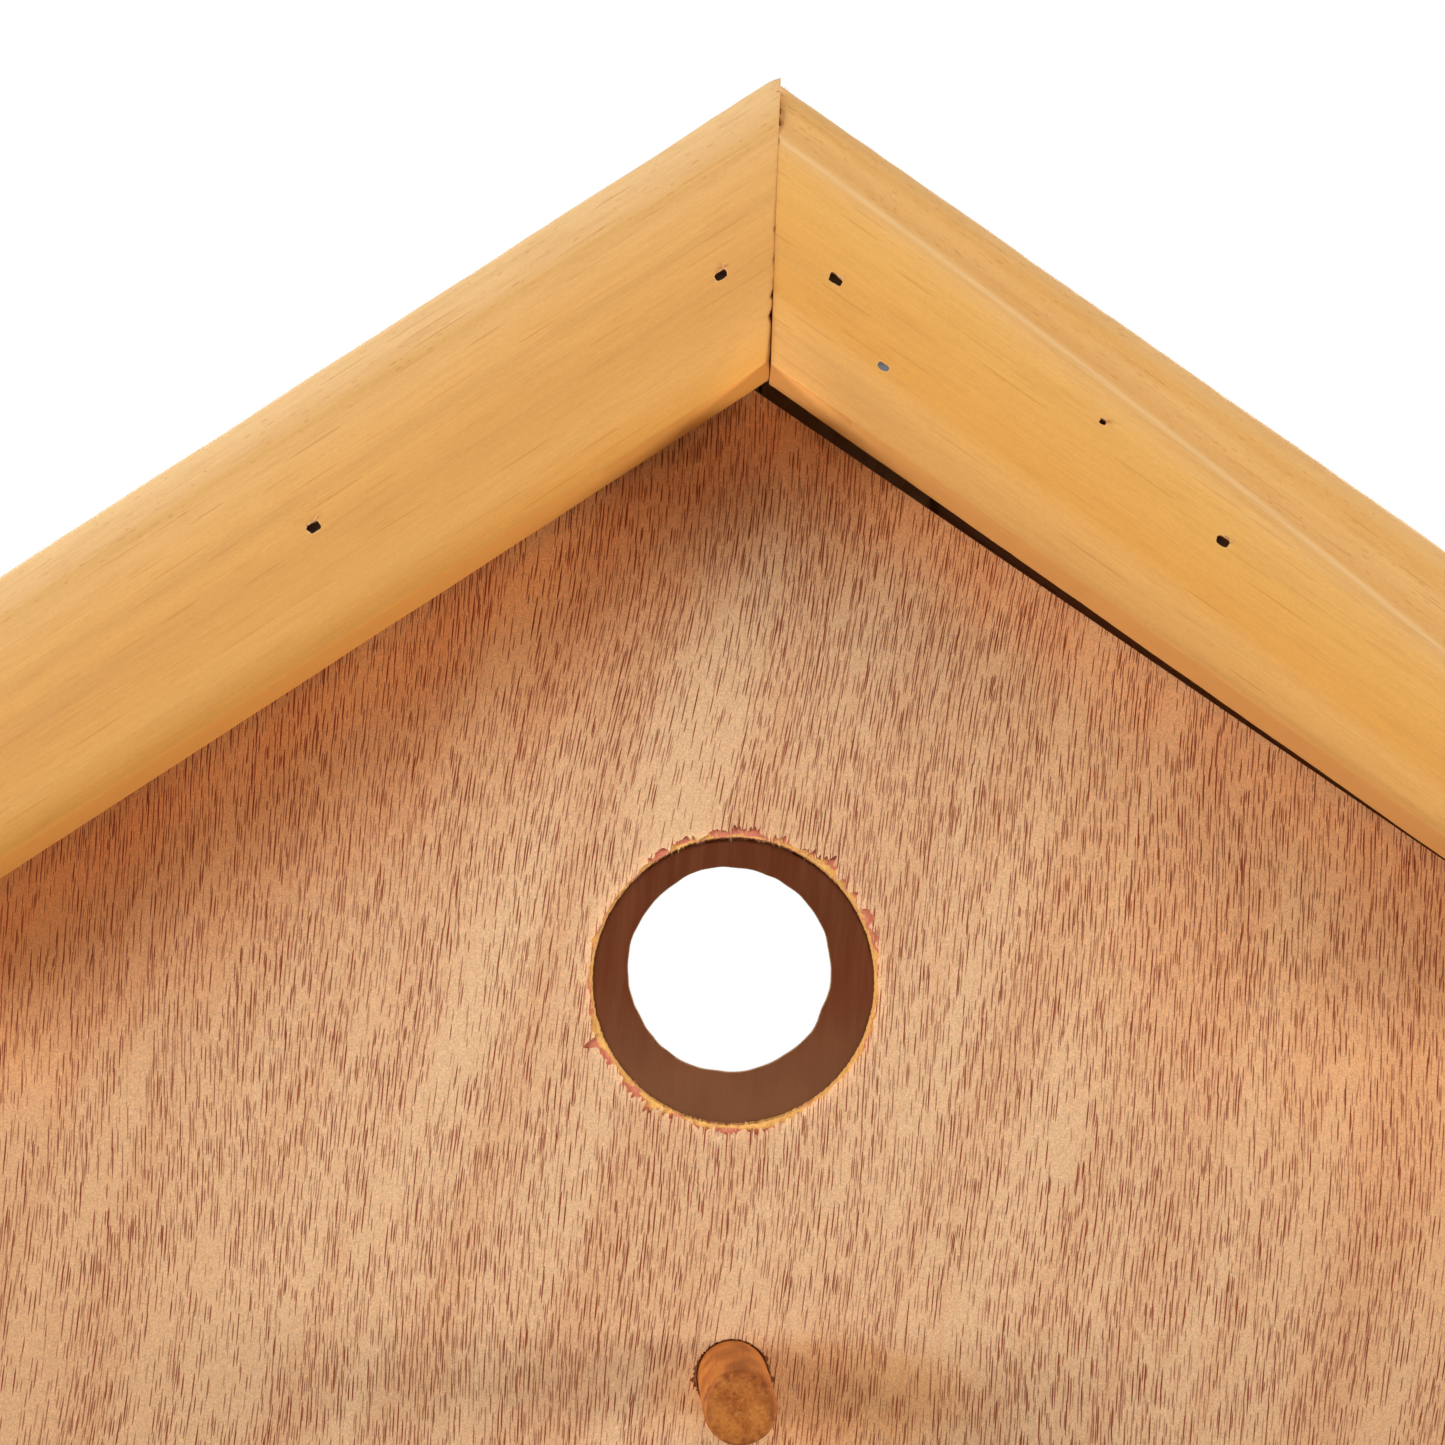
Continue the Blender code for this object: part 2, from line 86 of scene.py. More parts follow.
class Grain(Enum):
    """Turn that lays a board's grain along x, y or z."""

    ALONG_X = (0.0, 0.0, 0.0)
    ALONG_Y = (0.0, 0.0, math.pi / 2)
    ALONG_Z = (0.0, -math.pi / 2, 0.0)


# ---------------------------------------------------------------- finishes


class Recipe:
    """A Principled material that is being put together node by node."""

    def __init__(
        self, name: str, roughness: float, metallic: float = 0.0, shine: float = 0.18
    ) -> None:
        """Start a material.

        Args:
            name: The material's name.
            roughness: Roughness all over the surface.
            metallic: Metallic value all over the surface.
            shine: Specular level all over the surface; bare wood has little.
        """
        self.material = bpy.data.materials.new(name)
        self.material.use_nodes = True
        self.tree = self.material.node_tree
        self.shader = self.tree.nodes["Principled BSDF"]
        self.shader.inputs["Roughness"].default_value = roughness
        self.shader.inputs["Metallic"].default_value = metallic
        self.shader.inputs["Specular IOR Level"].default_value = shine
        self.object_point = self.add("ShaderNodeTexCoord").outputs["Object"]

    def add(self, kind: str, **settings: object) -> bpy.types.Node:
        """Add a node and set its properties.

        Args:
            kind: The node's type.
            settings: The node's properties.

        Returns:
            The new node.
        """
        node = self.tree.nodes.new(kind)
        for key, value in settings.items():
            setattr(node, key, value)
        return node

    def feed(self, socket: Socket, value: object) -> None:
        """Link a socket to another, or set its constant.

        Args:
            socket: The input to set.
            value: Another socket, a number or a colour.
        """
        if isinstance(value, bpy.types.NodeSocket):
            self.tree.links.new(value, socket)
        elif isinstance(value, tuple) and len(value) == 3 and socket.type == "RGBA":
            socket.default_value = (*value, 1.0)
        else:
            socket.default_value = value

    def space(
        self,
        period: Sequence[float],
        turn: Sequence[float] = (0.0, 0.0, 0.0),
        origin: Sequence[float] = (0.0, 0.0, 0.0),
        source: Socket | None = None,
    ) -> Socket:
        """Return object coordinates in a board's own directions, counted in periods.

        Args:
            period: Length of one unit of the pattern along each direction, in metres.
            turn: Turn of the board's directions, in radians.
            origin: The point that the pattern is counted from.
            source: Coordinates to use in place of the object's own.

        Returns:
            The coordinates.
        """
        node = self.add("ShaderNodeMapping", vector_type="TEXTURE")
        self.feed(node.inputs["Vector"], source or self.object_point)
        node.inputs["Location"].default_value = origin
        node.inputs["Rotation"].default_value = turn
        node.inputs["Scale"].default_value = period
        return node.outputs["Vector"]

    def math(self, how: str, *values: float | Socket, clamp: bool = False) -> Socket:
        """Return the result of a Math node.

        Args:
            how: The operation.
            values: Its inputs, in order.
            clamp: Whether the result is kept between 0 and 1.

        Returns:
            The result.
        """
        node = self.add("ShaderNodeMath", operation=how, use_clamp=clamp)
        for socket, value in zip(node.inputs, values):
            self.feed(socket, value)
        return node.outputs[0]

    def noise(self, where: Socket, detail: float = 2.0, rough: float = 0.5) -> Socket:
        """Return a noise value, about 0.5 on average, with one bump per unit of space.

        Args:
            where: Coordinates, counted in bumps.
            detail: How many finer layers there are.
            rough: How strong the finer layers are.

        Returns:
            The value.
        """
        node = self.add("ShaderNodeTexNoise")
        self.feed(node.inputs["Vector"], where)
        node.inputs["Scale"].default_value = 1.0
        node.inputs["Detail"].default_value = detail
        node.inputs["Roughness"].default_value = rough
        return node.outputs[0]

    def step(self, value: Socket, low: float, high: float) -> Socket:
        """Return 0 below low and 1 above high, with a soft rise; low may be above high.

        Args:
            value: The value to compare.
            low: Where the result is 0.
            high: Where the result is 1.

        Returns:
            The result, 0 to 1.
        """
        node = self.add("ShaderNodeMapRange", interpolation_type="SMOOTHSTEP")
        self.feed(node.inputs["Value"], value)
        node.inputs["From Min"].default_value = low
        node.inputs["From Max"].default_value = high
        return node.outputs["Result"]

    def mix(self, factor: float | Socket, first: object, second: object) -> Socket:
        """Return a colour between two others.

        Args:
            factor: Share of the second colour.
            first: The colour at 0.
            second: The colour at 1.

        Returns:
            The mixed colour.
        """
        node = self.add("ShaderNodeMix", data_type="RGBA")
        self.feed(node.inputs["Factor"], factor)
        self.feed(node.inputs[6], first)
        self.feed(node.inputs[7], second)
        return node.outputs[2]

    def scale(self, colour: Socket, amount: Socket) -> Socket:
        """Return a colour made lighter or darker by a factor.

        Args:
            colour: The colour.
            amount: The factor.

        Returns:
            The new colour.
        """
        node = self.add("ShaderNodeVectorMath", operation="SCALE")
        self.feed(node.inputs[0], colour)
        self.feed(node.inputs["Scale"], amount)
        return node.outputs[0]

    def tint(self, colour: Socket, gain: Colour) -> Socket:
        """Return a colour multiplied by another.

        Args:
            colour: The colour.
            gain: Factors for red, green and blue.

        Returns:
            The new colour.
        """
        node = self.add("ShaderNodeVectorMath", operation="MULTIPLY")
        self.feed(node.inputs[0], colour)
        node.inputs[1].default_value = gain
        return node.outputs[0]

    def swing(self, value: Socket, amount: float, middle: float = 1.0) -> Socket:
        """Return middle plus or minus amount, following a 0 to 1 value."""
        return self.math("MULTIPLY_ADD", value, 2.0 * amount, middle - amount)

    def plane(self, across: Socket, along: Socket) -> Socket:
        """Return flat coordinates across and along the grain, in metres.

        Args:
            across: Distance across the grain.
            along: Distance along the grain.

        Returns:
            The coordinates.
        """
        join = self.add("ShaderNodeCombineXYZ")
        self.feed(join.inputs[0], across)
        self.feed(join.inputs[1], along)
        return join.outputs[0]

    def split(self, vector: Socket) -> Sequence[Socket]:
        """Return a vector's three numbers.

        Args:
            vector: The vector.

        Returns:
            Its x, y and z.
        """
        node = self.add("ShaderNodeSeparateXYZ")
        self.feed(node.inputs[0], vector)
        return node.outputs

    def dashes(
        self,
        where: Socket,
        cell: Point2,
        width: float,
        closed: float | Socket,
        reach: Point2 = (0.26, 0.34),
        seed: float = 0.0,
    ) -> Socket:
        """Return a layer of thin dashes along the grain, one to a cell.

        Args:
            where: Flat coordinates across and along the grain.
            cell: Usual spacing of the dashes across and along the grain.
            width: Half of a dash's width.
            closed: The share of the cells that stay empty.
            reach: Least half length of a dash and the most added to it, in cells.
            seed: Shift of the pattern.

        Returns:
            The layer's mask, 1 inside a dash.
        """
        space = self.space((cell[0], cell[1], 1.0), origin=(seed, seed, 0.0), source=where)
        cells = self.add("ShaderNodeTexVoronoi", voronoi_dimensions="2D")
        self.feed(cells.inputs["Vector"], space)
        cells.inputs["Scale"].default_value = 1.0
        offset = self.add("ShaderNodeVectorMath", operation="SUBTRACT")
        self.feed(offset.inputs[0], space)
        self.feed(offset.inputs[1], cells.outputs["Position"])
        beside, ahead, _ = self.split(offset.outputs[0])
        chance = self.add("ShaderNodeSeparateColor")
        self.feed(chance.inputs[0], cells.outputs["Color"])
        across = self.math("DIVIDE", self.math("ABSOLUTE", beside), width / cell[0])
        length = self.math("MULTIPLY_ADD", chance.outputs[1], reach[1], reach[0])
        along = self.math("DIVIDE", self.math("ABSOLUTE", ahead), length)
        inside = self.step(self.math("ADD", across, self.math("POWER", along, 3.0)), 1.25, 0.65)
        shown = self.step(self.math("SUBTRACT", chance.outputs[0], closed), -0.02, 0.10)
        depth = self.math("MULTIPLY_ADD", chance.outputs[2], 0.6, 0.4)
        return self.math("MULTIPLY", inside, self.math("MULTIPLY", shown, depth))

    def attribute(self, name: str) -> Socket:
        """Return a number that the piece's own mesh carries."""
        return self.add("ShaderNodeAttribute", attribute_name=name).outputs["Fac"]

    def done(self, colour: object, height: Socket | None, depth: float) -> bpy.types.Material:
        """Connect colour and relief, and return the material.

        Args:
            colour: Base colour.
            height: Relief from 0 to 1, or None for a flat surface.
            depth: Depth of the relief, in metres.

        Returns:
            The finished material.
        """
        self.feed(self.shader.inputs["Base Color"], colour)
        if height is not None:
            bump = self.add("ShaderNodeBump")
            bump.inputs["Strength"].default_value = 1.0
            bump.inputs["Distance"].default_value = depth
            self.feed(bump.inputs["Height"], height)
            self.feed(self.shader.inputs["Normal"], bump.outputs["Normal"])
        return self.material


@dataclass(frozen=True)
class Softwood:
    """Planed softwood: growth rings round a pith outside the board, fibres and blotches.

    A trim's stain runs in bands along it, given as (share of the width, colour) stops.
    """

    name: str
    pale: Colour
    deep: Colour
    turn: Sequence[float] = Grain.ALONG_X.value
    pith: Sequence[float] = (0.0, 0.0, 0.0)
    ring: float = 2.6 * MM
    ring_strength: float = 0.35
    blotch: Colour = (0.45, 0.25, 0.11)
    blotch_strength: float = 0.22
    nick: Colour = (0.50, 0.19, 0.04)
    # Paler colour for edge wear, also used as a painted highlight along the trims' arris and top edge.
    pale_lit_tone: Colour = (0.82, 0.56, 0.29)
    dirty: Colour = (0.44, 0.15, 0.03)
    roughness: float = 0.5
    bands: Bands = ()

    def banded(self, make: Recipe, sway: Socket) -> Socket:
        """Return the stain's bands, which wander a little along the board.

        Args:
            make: The material that is being put together.
            sway: Shift of the bands, in shares of the width.

        Returns:
            The colour of the stain.
        """
        ramp = make.add("ShaderNodeValToRGB")
        stops = ramp.color_ramp.elements
        while len(stops) < len(self.bands):
            stops.new(0.5)
        for stop, (share, colour) in zip(stops, self.bands):
            stop.position = share
            stop.color = (*colour, 1.0)
        across = make.math("ADD", make.attribute("across"), sway)
        make.feed(ramp.inputs["Fac"], across)
        return ramp.outputs["Color"]

    def grown(self, make: Recipe, cloud: Socket) -> Socket:
        """Return the growth rings and streaks, in the board's own colours or the stain's.

        Args:
            make: The material that is being put together.
            cloud: Slow noise along the board.

        Returns:
            The colour of the wood before its fine marks.
        """
        unit = self.ring / RING_PERIOD
        rings = make.add("ShaderNodeTexWave", wave_type="RINGS", rings_direction="X", wave_profile="SAW")
        make.feed(rings.inputs["Vector"], make.space((60 * unit, unit, unit), self.turn, self.pith))
        rings.inputs["Scale"].default_value = 1.0
        rings.inputs["Distortion"].default_value = 9.0
        rings.inputs["Detail"].default_value = 2.0
        rings.inputs["Detail Scale"].default_value = 0.55
        late = make.math("POWER", rings.outputs["Fac"], 2.6)
        streak = make.noise(make.space((30 * MM, 1.5 * MM, 1.5 * MM), self.turn), 3.0, 0.6)
        pale: Socket | Colour = self.pale
        deep: Socket | Colour = self.deep
        if self.bands:
            pale = self.banded(make, make.math("MULTIPLY_ADD", cloud, 0.10, -0.05))
            deep = make.mix(0.55, pale, self.deep)
        colour = make.mix(make.math("MULTIPLY", late, self.ring_strength), pale, deep)
        return make.mix(make.math("MULTIPLY", make.step(streak, 0.48, 0.76), 0.5), colour, deep)

    def marked(self, make: Recipe, colour: Socket) -> Socket:
        """Add resin lines, nicks and mottling to the wood, and edge wear with a painted highlight and dirt to
        its edges.

        Args:
            make: The material that is being put together.
            colour: The wood's colour.

        Returns:
            The colour with its marks.
        """
        along, aside, across = make.split(make.space((1.0, 1.0, 1.0), self.turn))
        flat = make.plane(make.math("ADD", across, aside), along)
        line = make.dashes(flat, (1.5 * MM, 9 * MM), 0.11 * MM, 0.72)
        colour = make.mix(make.math("MULTIPLY", line, 0.42), colour, self.nick)
        nick = make.dashes(flat, (0.8 * MM, 2.2 * MM), 0.13 * MM, 0.58, (0.08, 0.20), 5.0)
        strength: Socket | float = 0.05
        if self.bands:
            planed = make.math("LESS_THAN", make.attribute("across"), 0.22)
            strength = make.math("MULTIPLY_ADD", planed, 0.34, 0.04)
        colour = make.mix(make.math("MULTIPLY", nick, strength), colour, self.nick)
        mottle = make.noise(make.space((7 * MM, 0.8 * MM, 0.8 * MM), self.turn), 3.0, 0.6)
        mottled = make.math("MULTIPLY", make.step(mottle, 0.50, 0.72), 0.15)
        colour = make.mix(mottled, colour, self.nick)
        # Edge wear, and a painted highlight along the planed arris and the top edge.
        wear = make.math("MULTIPLY", make.attribute("wear"), 0.50, clamp=True)
        colour = make.mix(wear, colour, self.pale_lit_tone)
        dirt = make.math("MULTIPLY", make.attribute("dirt"), 0.85, clamp=True)
        return make.mix(dirt, colour, self.dirty)

    def material(self) -> bpy.types.Material:
        """Return the finish as a material.

        Returns:
            The material.
        """
        make = Recipe(self.name, self.roughness)
        cloud = make.noise(make.space((48 * MM, 4 * MM, 4 * MM), self.turn, self.pith), 3.0, 0.6)
        fibre = make.noise(make.space((9 * MM, 0.24 * MM, 0.24 * MM), self.turn), 3.0, 0.62)
        speck = make.noise(make.space((0.5 * MM, 0.18 * MM, 0.18 * MM), self.turn), 2.0, 0.7)
        colour = self.grown(make, cloud)
        smudge = make.math("MULTIPLY", make.step(cloud, 0.52, 0.72), self.blotch_strength)
        colour = make.mix(smudge, colour, self.blotch)
        colour = make.scale(colour, make.swing(fibre, 0.09))
        colour = make.scale(colour, make.swing(speck, 0.10))
        return make.done(self.marked(make, colour), fibre, 0.04 * MM)


@dataclass(frozen=True)
class Veneer:
    """Open-pored reddish tropical veneer: short dark pores and pale bands without them."""

    name: str
    peak: Point2
    slope: float
    pale: Colour = (0.735, 0.455, 0.248)
    deep: Colour = (0.685, 0.385, 0.198)
    pore: Colour = (0.235, 0.026, 0.003)
    blush: Colour = (0.62, 0.22, 0.10)
    pore_width: float = 0.073 * MM
    # Tints that paint light and shade on the veneer: warm shade under the trims, shade towards the sides,
    # warm light under the right eave and the perch's shadow.
    stained: Colour = (1.14, 0.74, 0.42)
    eave_shade_reach: float = 42.0 * MM
    painted_side_shade: Colour = (0.90, 0.83, 0.77)
    painted_eave_light: Colour = (1.16, 1.05, 0.94)
    painted_perch_shadow: Colour = (1.0, 0.84, 0.66)
    perch_shadow_centre: Point2 = (8.0 * MM, 58.5 * MM)
    perch_shadow_reach: Point2 = (22.0 * MM, 8.0 * MM)
    has_perch: bool = False
    seed: float = 0.0
    roughness: float = 0.62

    def below_roof(self, make: Recipe, x: Socket, z: Socket) -> Socket:
        """Return how far a point lies below the roof's edge.

        Args:
            make: The material that is being put together.
            x: The point's x.
            z: The point's z.

        Returns:
            The distance straight down, in metres.
        """
        off_peak = make.math("ABSOLUTE", make.math("SUBTRACT", x, self.peak[0]))
        below = make.math("SUBTRACT", self.peak[1], z)
        return make.math("MULTIPLY_ADD", off_peak, -math.tan(self.slope), below)

    def perch_shadow_mask(self, make: Recipe, x: Socket, z: Socket) -> Socket:
        """Return how strongly the perch's shadow is painted on the veneer beside it.

        Args:
            make: The material that is being put together.
            x: The point's x.
            z: The point's z.

        Returns:
            The amount, 0 to 1.
        """
        square: Socket | float = 0.0
        for value, middle, reach in zip((x, z), self.perch_shadow_centre, self.perch_shadow_reach):
            off = make.math("DIVIDE", make.math("SUBTRACT", value, middle), reach)
            square = make.math("MULTIPLY_ADD", off, off, square)
        return make.step(square, 1.0, 0.1)

    def under_roof(self, make: Recipe, x: Socket, z: Socket) -> Socket:
        """Return how strongly warm shade is painted on the veneer under the trims, 1 at the roof's edge.

        Args:
            make: The material that is being put together.
            x: The point's x.
            z: The point's z.

        Returns:
            The strength, 0 to 1.
        """
        patch = make.noise(make.space((9 * MM, 1.0, 9 * MM)), 2.0)
        below = make.math("MULTIPLY_ADD", patch, 7 * MM, self.below_roof(make, x, z))
        left = make.step(x, 30 * MM, -30 * MM)
        reach = make.math("MULTIPLY_ADD", left, 0.55, 0.45)
        near = make.step(make.math("DIVIDE", below, reach), self.eave_shade_reach, 0.0)
        inner = make.step(x, 45 * MM, 5 * MM)
        return make.math("MULTIPLY", near, make.math("MULTIPLY_ADD", inner, 0.70, 0.30))

    def pores(self, make: Recipe, grain: Socket, band: Socket) -> Socket:
        """Return the short open pores, which leave pale bands free.

        Args:
            make: The material that is being put together.
            grain: Coordinates across and along the grain.
            band: Slow noise that thins the pores out.

        Returns:
            The pores' mask, 1 inside a pore.
        """
        fine_band = make.noise(make.space((1.3 * MM, 1.0, 13 * MM), (0, 0.14, 0)), 1.0)
        patch = make.noise(make.space((2.6 * MM, 1.0, 26 * MM), (0.0, math.radians(13), 0.0)), 1.0)
        paleness = make.math("MULTIPLY_ADD", patch, 0.5, make.math("MULTIPLY", band, 0.6))
        bare = make.step(paleness, 0.53, 0.70)
        closed = make.math("MULTIPLY_ADD", bare, 0.62, -0.24)
        closed = make.math("MULTIPLY_ADD", fine_band, 0.66, closed)
        coarse = make.dashes(grain, (0.56 * MM, 4.4 * MM), self.pore_width, closed, seed=self.seed)
        fine = make.dashes(grain, (0.42 * MM, 2.6 * MM), self.pore_width, closed, seed=self.seed + 3.3)
        return make.math("MAXIMUM", coarse, make.math("MULTIPLY", fine, 0.75))

    def ground(self, make: Recipe, grain: Socket, band: Socket, fibre: Socket) -> Socket:
        """Return the colour of the wood between the pores.

        Args:
            make: The material that is being put together.
            grain: Coordinates across and along the grain.
            band: Slow noise that follows the bands.
            fibre: Fine noise along the grain.

        Returns:
            The colour of the wood between the pores.
        """
        blend = make.noise(make.space((0.7 * MM, 2.4 * MM, 1.0), source=grain), 2.0, 0.6)
        tone = make.math("MULTIPLY_ADD", blend, 0.30, make.math("SUBTRACT", band, 0.15))
        colour = make.mix(make.step(tone, 0.30, 0.66), self.deep, self.pale)
        speck = make.noise(make.space((0.20 * MM, 0.20 * MM, 0.20 * MM)), 1.0)
        colour = make.scale(colour, make.swing(fibre, 0.26))
        colour = make.scale(colour, make.swing(speck, 0.36))
        flush = make.noise(make.space((1.1 * MM, 1.0, 4 * MM), source=grain), 2.0, 0.7)
        reddened = make.math("MULTIPLY", make.step(flush, 0.50, 0.70), 0.14)
        return make.mix(reddened, colour, self.blush)

    def add_painted_light(self, make: Recipe, colour: Socket, x: Socket, z: Socket) -> Socket:
        """Add painted warm shade under the trims, painted shade at the sides, painted warm light under the
        right eave and the perch's painted shadow.

        Args:
            make: The material that is being put together.
            colour: The veneer's colour.
            x: The point's x.
            z: The point's z.

        Returns:
            The colour with the painted light and shade.
        """
        # Painted warm shade below the trims, strongest on the left and at the apex.
        colour = make.mix(self.under_roof(make, x, z), colour, make.tint(colour, self.stained))
        # Painted shade towards the panel's left and right sides.
        beside = make.step(make.math("ABSOLUTE", x), 36 * MM, 80 * MM)
        colour = make.mix(beside, colour, make.tint(colour, self.painted_side_shade))
        # Painted warm light on the veneer under the right eave.
        eave = make.step(self.below_roof(make, x, z), 62 * MM, 22 * MM)
        painted_eave_light = make.math("MULTIPLY", make.step(x, 12 * MM, 48 * MM), eave)
        colour = make.mix(painted_eave_light, colour, make.tint(colour, self.painted_eave_light))
        if self.has_perch:
            # Painted shadow of the perch on the veneer to its right.
            perch_shadow = self.perch_shadow_mask(make, x, z)
            colour = make.mix(perch_shadow, colour, make.tint(colour, self.painted_perch_shadow))
        return colour

    def material(self) -> bpy.types.Material:
        """Return the finish as a material.

        Returns:
            The material.
        """
        make = Recipe(self.name, self.roughness)
        x, _, z = make.split(make.object_point)
        bend = make.noise(make.space((70 * MM, 1.0, 110 * MM), origin=(self.seed, 0, 0)), 1.0)
        wobble = make.noise(make.space((9 * MM, 1.0, 26 * MM)), 1.0)
        lean = make.math("MULTIPLY_ADD", z, -0.085, x)
        lean = make.math("MULTIPLY_ADD", bend, 15 * MM, lean)
        lean = make.math("MULTIPLY_ADD", wobble, 0.9 * MM, lean)
        grain = make.plane(lean, z)
        band = make.noise(make.space((8 * MM, 1.0, 75 * MM), (0.0, math.radians(17), 0.0)), 2.0)
        fibre = make.noise(make.space((0.17 * MM, 1.0 * MM, 1.0), source=grain), 2.0, 0.7)
        pore = self.pores(make, grain, band)
        filled = make.math("MULTIPLY", pore, 1.15, clamp=True)
        colour = make.mix(filled, self.ground(make, grain, band, fibre), self.pore)
        colour = self.add_painted_light(make, colour, x, z)
        height = make.math("SUBTRACT", make.math("MULTIPLY", fibre, 0.3), pore)
        return make.done(colour, height, 0.06 * MM)


@dataclass(frozen=True)
class InnerPly:
    """Smooth red-brown inner face of the plywood, with faint soft streaks and painted light on its lower
    part.
    """

    name: str
    pale: Colour = (0.50, 0.150, 0.054)
    deep: Colour = (0.42, 0.102, 0.032)
    # Paler tone painted on the lower part as light.
    pale_lit_tone: Colour = (0.74, 0.30, 0.13)

    def material(self) -> bpy.types.Material:
        """Return the finish as a material.

        Returns:
            The material.
        """
        make = Recipe(self.name, 0.7)
        streak = make.noise(make.space((2.2 * MM, 1.0, 22 * MM), (0.0, 0.08, 0.0)), 3.0, 0.55)
        cloud = make.noise(make.space((8 * MM, 1.0, 12 * MM)), 2.0)
        colour = make.mix(make.step(streak, 0.35, 0.68), self.deep, self.pale)
        height = make.split(make.object_point)[2]
        # Lower part painted lighter: painted light on the far wall below the entrance's middle.
        low = make.math("MULTIPLY", make.step(height, 104 * MM, 82 * MM), 0.8)
        colour = make.mix(low, colour, self.pale_lit_tone)
        colour = make.scale(colour, make.swing(cloud, 0.16))
        fibre = make.noise(make.space((0.3 * MM, 1.0, 4 * MM)), 2.0, 0.6)
        return make.done(make.scale(colour, make.swing(fibre, 0.07)), fibre, 0.02 * MM)


@dataclass(frozen=True)
class PlyCore:
    """Coarse middle ply: ochre where the drill tore it, pink where the veneer came away."""

    name: str
    centre: Point2
    radius: float
    ochre: Colour = (0.72, 0.38, 0.10)
    pink: Colour = (0.60, 0.185, 0.105)
    sawn_pale: Colour = (0.56, 0.31, 0.15)
    sawn_dark: Colour = (0.36, 0.17, 0.075)

    def material(self) -> bpy.types.Material:
        """Return the finish as a material.

        Returns:
            The material.
        """
        make = Recipe(self.name, 0.75)
        x, _, z = make.split(make.object_point)
        across = make.math("SUBTRACT", x, self.centre[0])
        up = make.math("SUBTRACT", z, self.centre[1])
        square = make.math("ADD", make.math("MULTIPLY", across, across), make.math("MULTIPLY", up, up))
        outside = make.math("SUBTRACT", make.math("SQRT", square), self.radius)
        patch = make.noise(make.space((2.2 * MM, 5 * MM, 1.6 * MM)), 2.0)
        reach = make.math("MULTIPLY_ADD", patch, 3.2 * MM, make.math("ADD", outside, -1.9 * MM))
        colour = make.mix(make.step(reach, 0.0, 0.35 * MM), self.ochre, self.pink)
        streak = make.noise(make.space((0.7 * MM, 0.5 * MM, 3 * MM)), 2.0, 0.6)
        sawn = make.mix(make.step(streak, 0.40, 0.62), self.sawn_dark, self.sawn_pale)
        colour = make.mix(make.step(outside, 7 * MM, 9 * MM), colour, sawn)
        fibre = make.noise(make.space((0.12 * MM, 0.5 * MM, 0.8 * MM)), 2.0, 0.7)
        colour = make.scale(colour, make.swing(fibre, 0.34))
        return make.done(colour, fibre, 0.12 * MM)


@dataclass(frozen=True)
class StainedDowel:
    """Stained hardwood dowel: fine fibres along it and dark vessel dots in its end grain."""

    name: str = "stained_dowel"
    tip_y: float = 0.0
    deep: Colour = (0.35, 0.097, 0.015)
    pale: Colour = (0.52, 0.172, 0.030)
    vessel: Colour = (0.10, 0.025, 0.012)
    dust: Colour = (0.62, 0.27, 0.10)
    dinge: Colour = (0.22, 0.050, 0.010)
    rim: Colour = (0.20, 0.045, 0.015)

    def end_grain(self, make: Recipe, colour: Socket) -> Socket:
        """Add the vessel dots, dust and dinge of the sawn end.

        Args:
            make: The material that is being put together.
            colour: The dowel's colour.

        Returns:
            The colour with the end grain at the tip.
        """
        depth = make.split(make.object_point)[1]
        at_tip = make.step(depth, self.tip_y + 0.9 * MM, self.tip_y + 0.1 * MM)
        dots = make.add("ShaderNodeTexVoronoi")
        make.feed(dots.inputs["Vector"], make.space((0.75 * MM, 3 * MM, 0.75 * MM)))
        dots.inputs["Scale"].default_value = 1.0
        dot = make.math("MULTIPLY", make.step(dots.outputs["Distance"], 0.24, 0.12), at_tip)
        colour = make.mix(make.math("MULTIPLY", dot, 0.35), colour, self.vessel)
        mottle = make.noise(make.space((0.42 * MM, 3 * MM, 0.42 * MM)), 3.0, 0.65)
        dusty = make.math("MULTIPLY", make.step(mottle, 0.52, 0.70), at_tip)
        colour = make.mix(make.math("MULTIPLY", dusty, 0.45), colour, self.dust)
        dingy = make.math("MULTIPLY", make.step(mottle, 0.46, 0.32), at_tip)
        return make.mix(make.math("MULTIPLY", dingy, 0.55), colour, self.dinge)

    def material(self) -> bpy.types.Material:
        """Return the finish as a material.

        Returns:
            The material.
        """
        make = Recipe(self.name, 0.55)
        fibre = make.noise(make.space((0.30 * MM, 7 * MM, 0.30 * MM)), 3.0, 0.65)
        cloud = make.noise(make.space((2.6 * MM, 5 * MM, 2.6 * MM)), 2.0)
        colour = make.mix(make.step(cloud, 0.36, 0.66), self.deep, self.pale)
        colour = make.scale(colour, make.swing(fibre, 0.26))
        colour = self.end_grain(make, colour)
        rim = make.math("MULTIPLY", make.attribute("dirt"), 0.75, clamp=True)
        colour = make.mix(rim, colour, self.rim)
        return make.done(colour, fibre, 0.05 * MM)


@dataclass(frozen=True)
class Metal:
    """Dull steel, with small stains."""

    name: str
    colour: Colour = (0.30, 0.30, 0.31)
    stain: Colour = (0.12, 0.10, 0.09)
    roughness: float = 0.38

    def material(self) -> bpy.types.Material:
        """Return the finish as a material.

        Returns:
            The material.
        """
        make = Recipe(self.name, self.roughness, 1.0, 0.5)
        cloud = make.noise(make.space((1.6 * MM, 1.6 * MM, 1.6 * MM)), 4.0, 0.6)
        scratch = make.noise(make.space((0.2 * MM, 2.4 * MM, 0.2 * MM)), 2.0)
        colour = make.mix(make.step(cloud, 0.45, 0.75), self.colour, self.stain)
        return make.done(colour, scratch, 0.01 * MM)


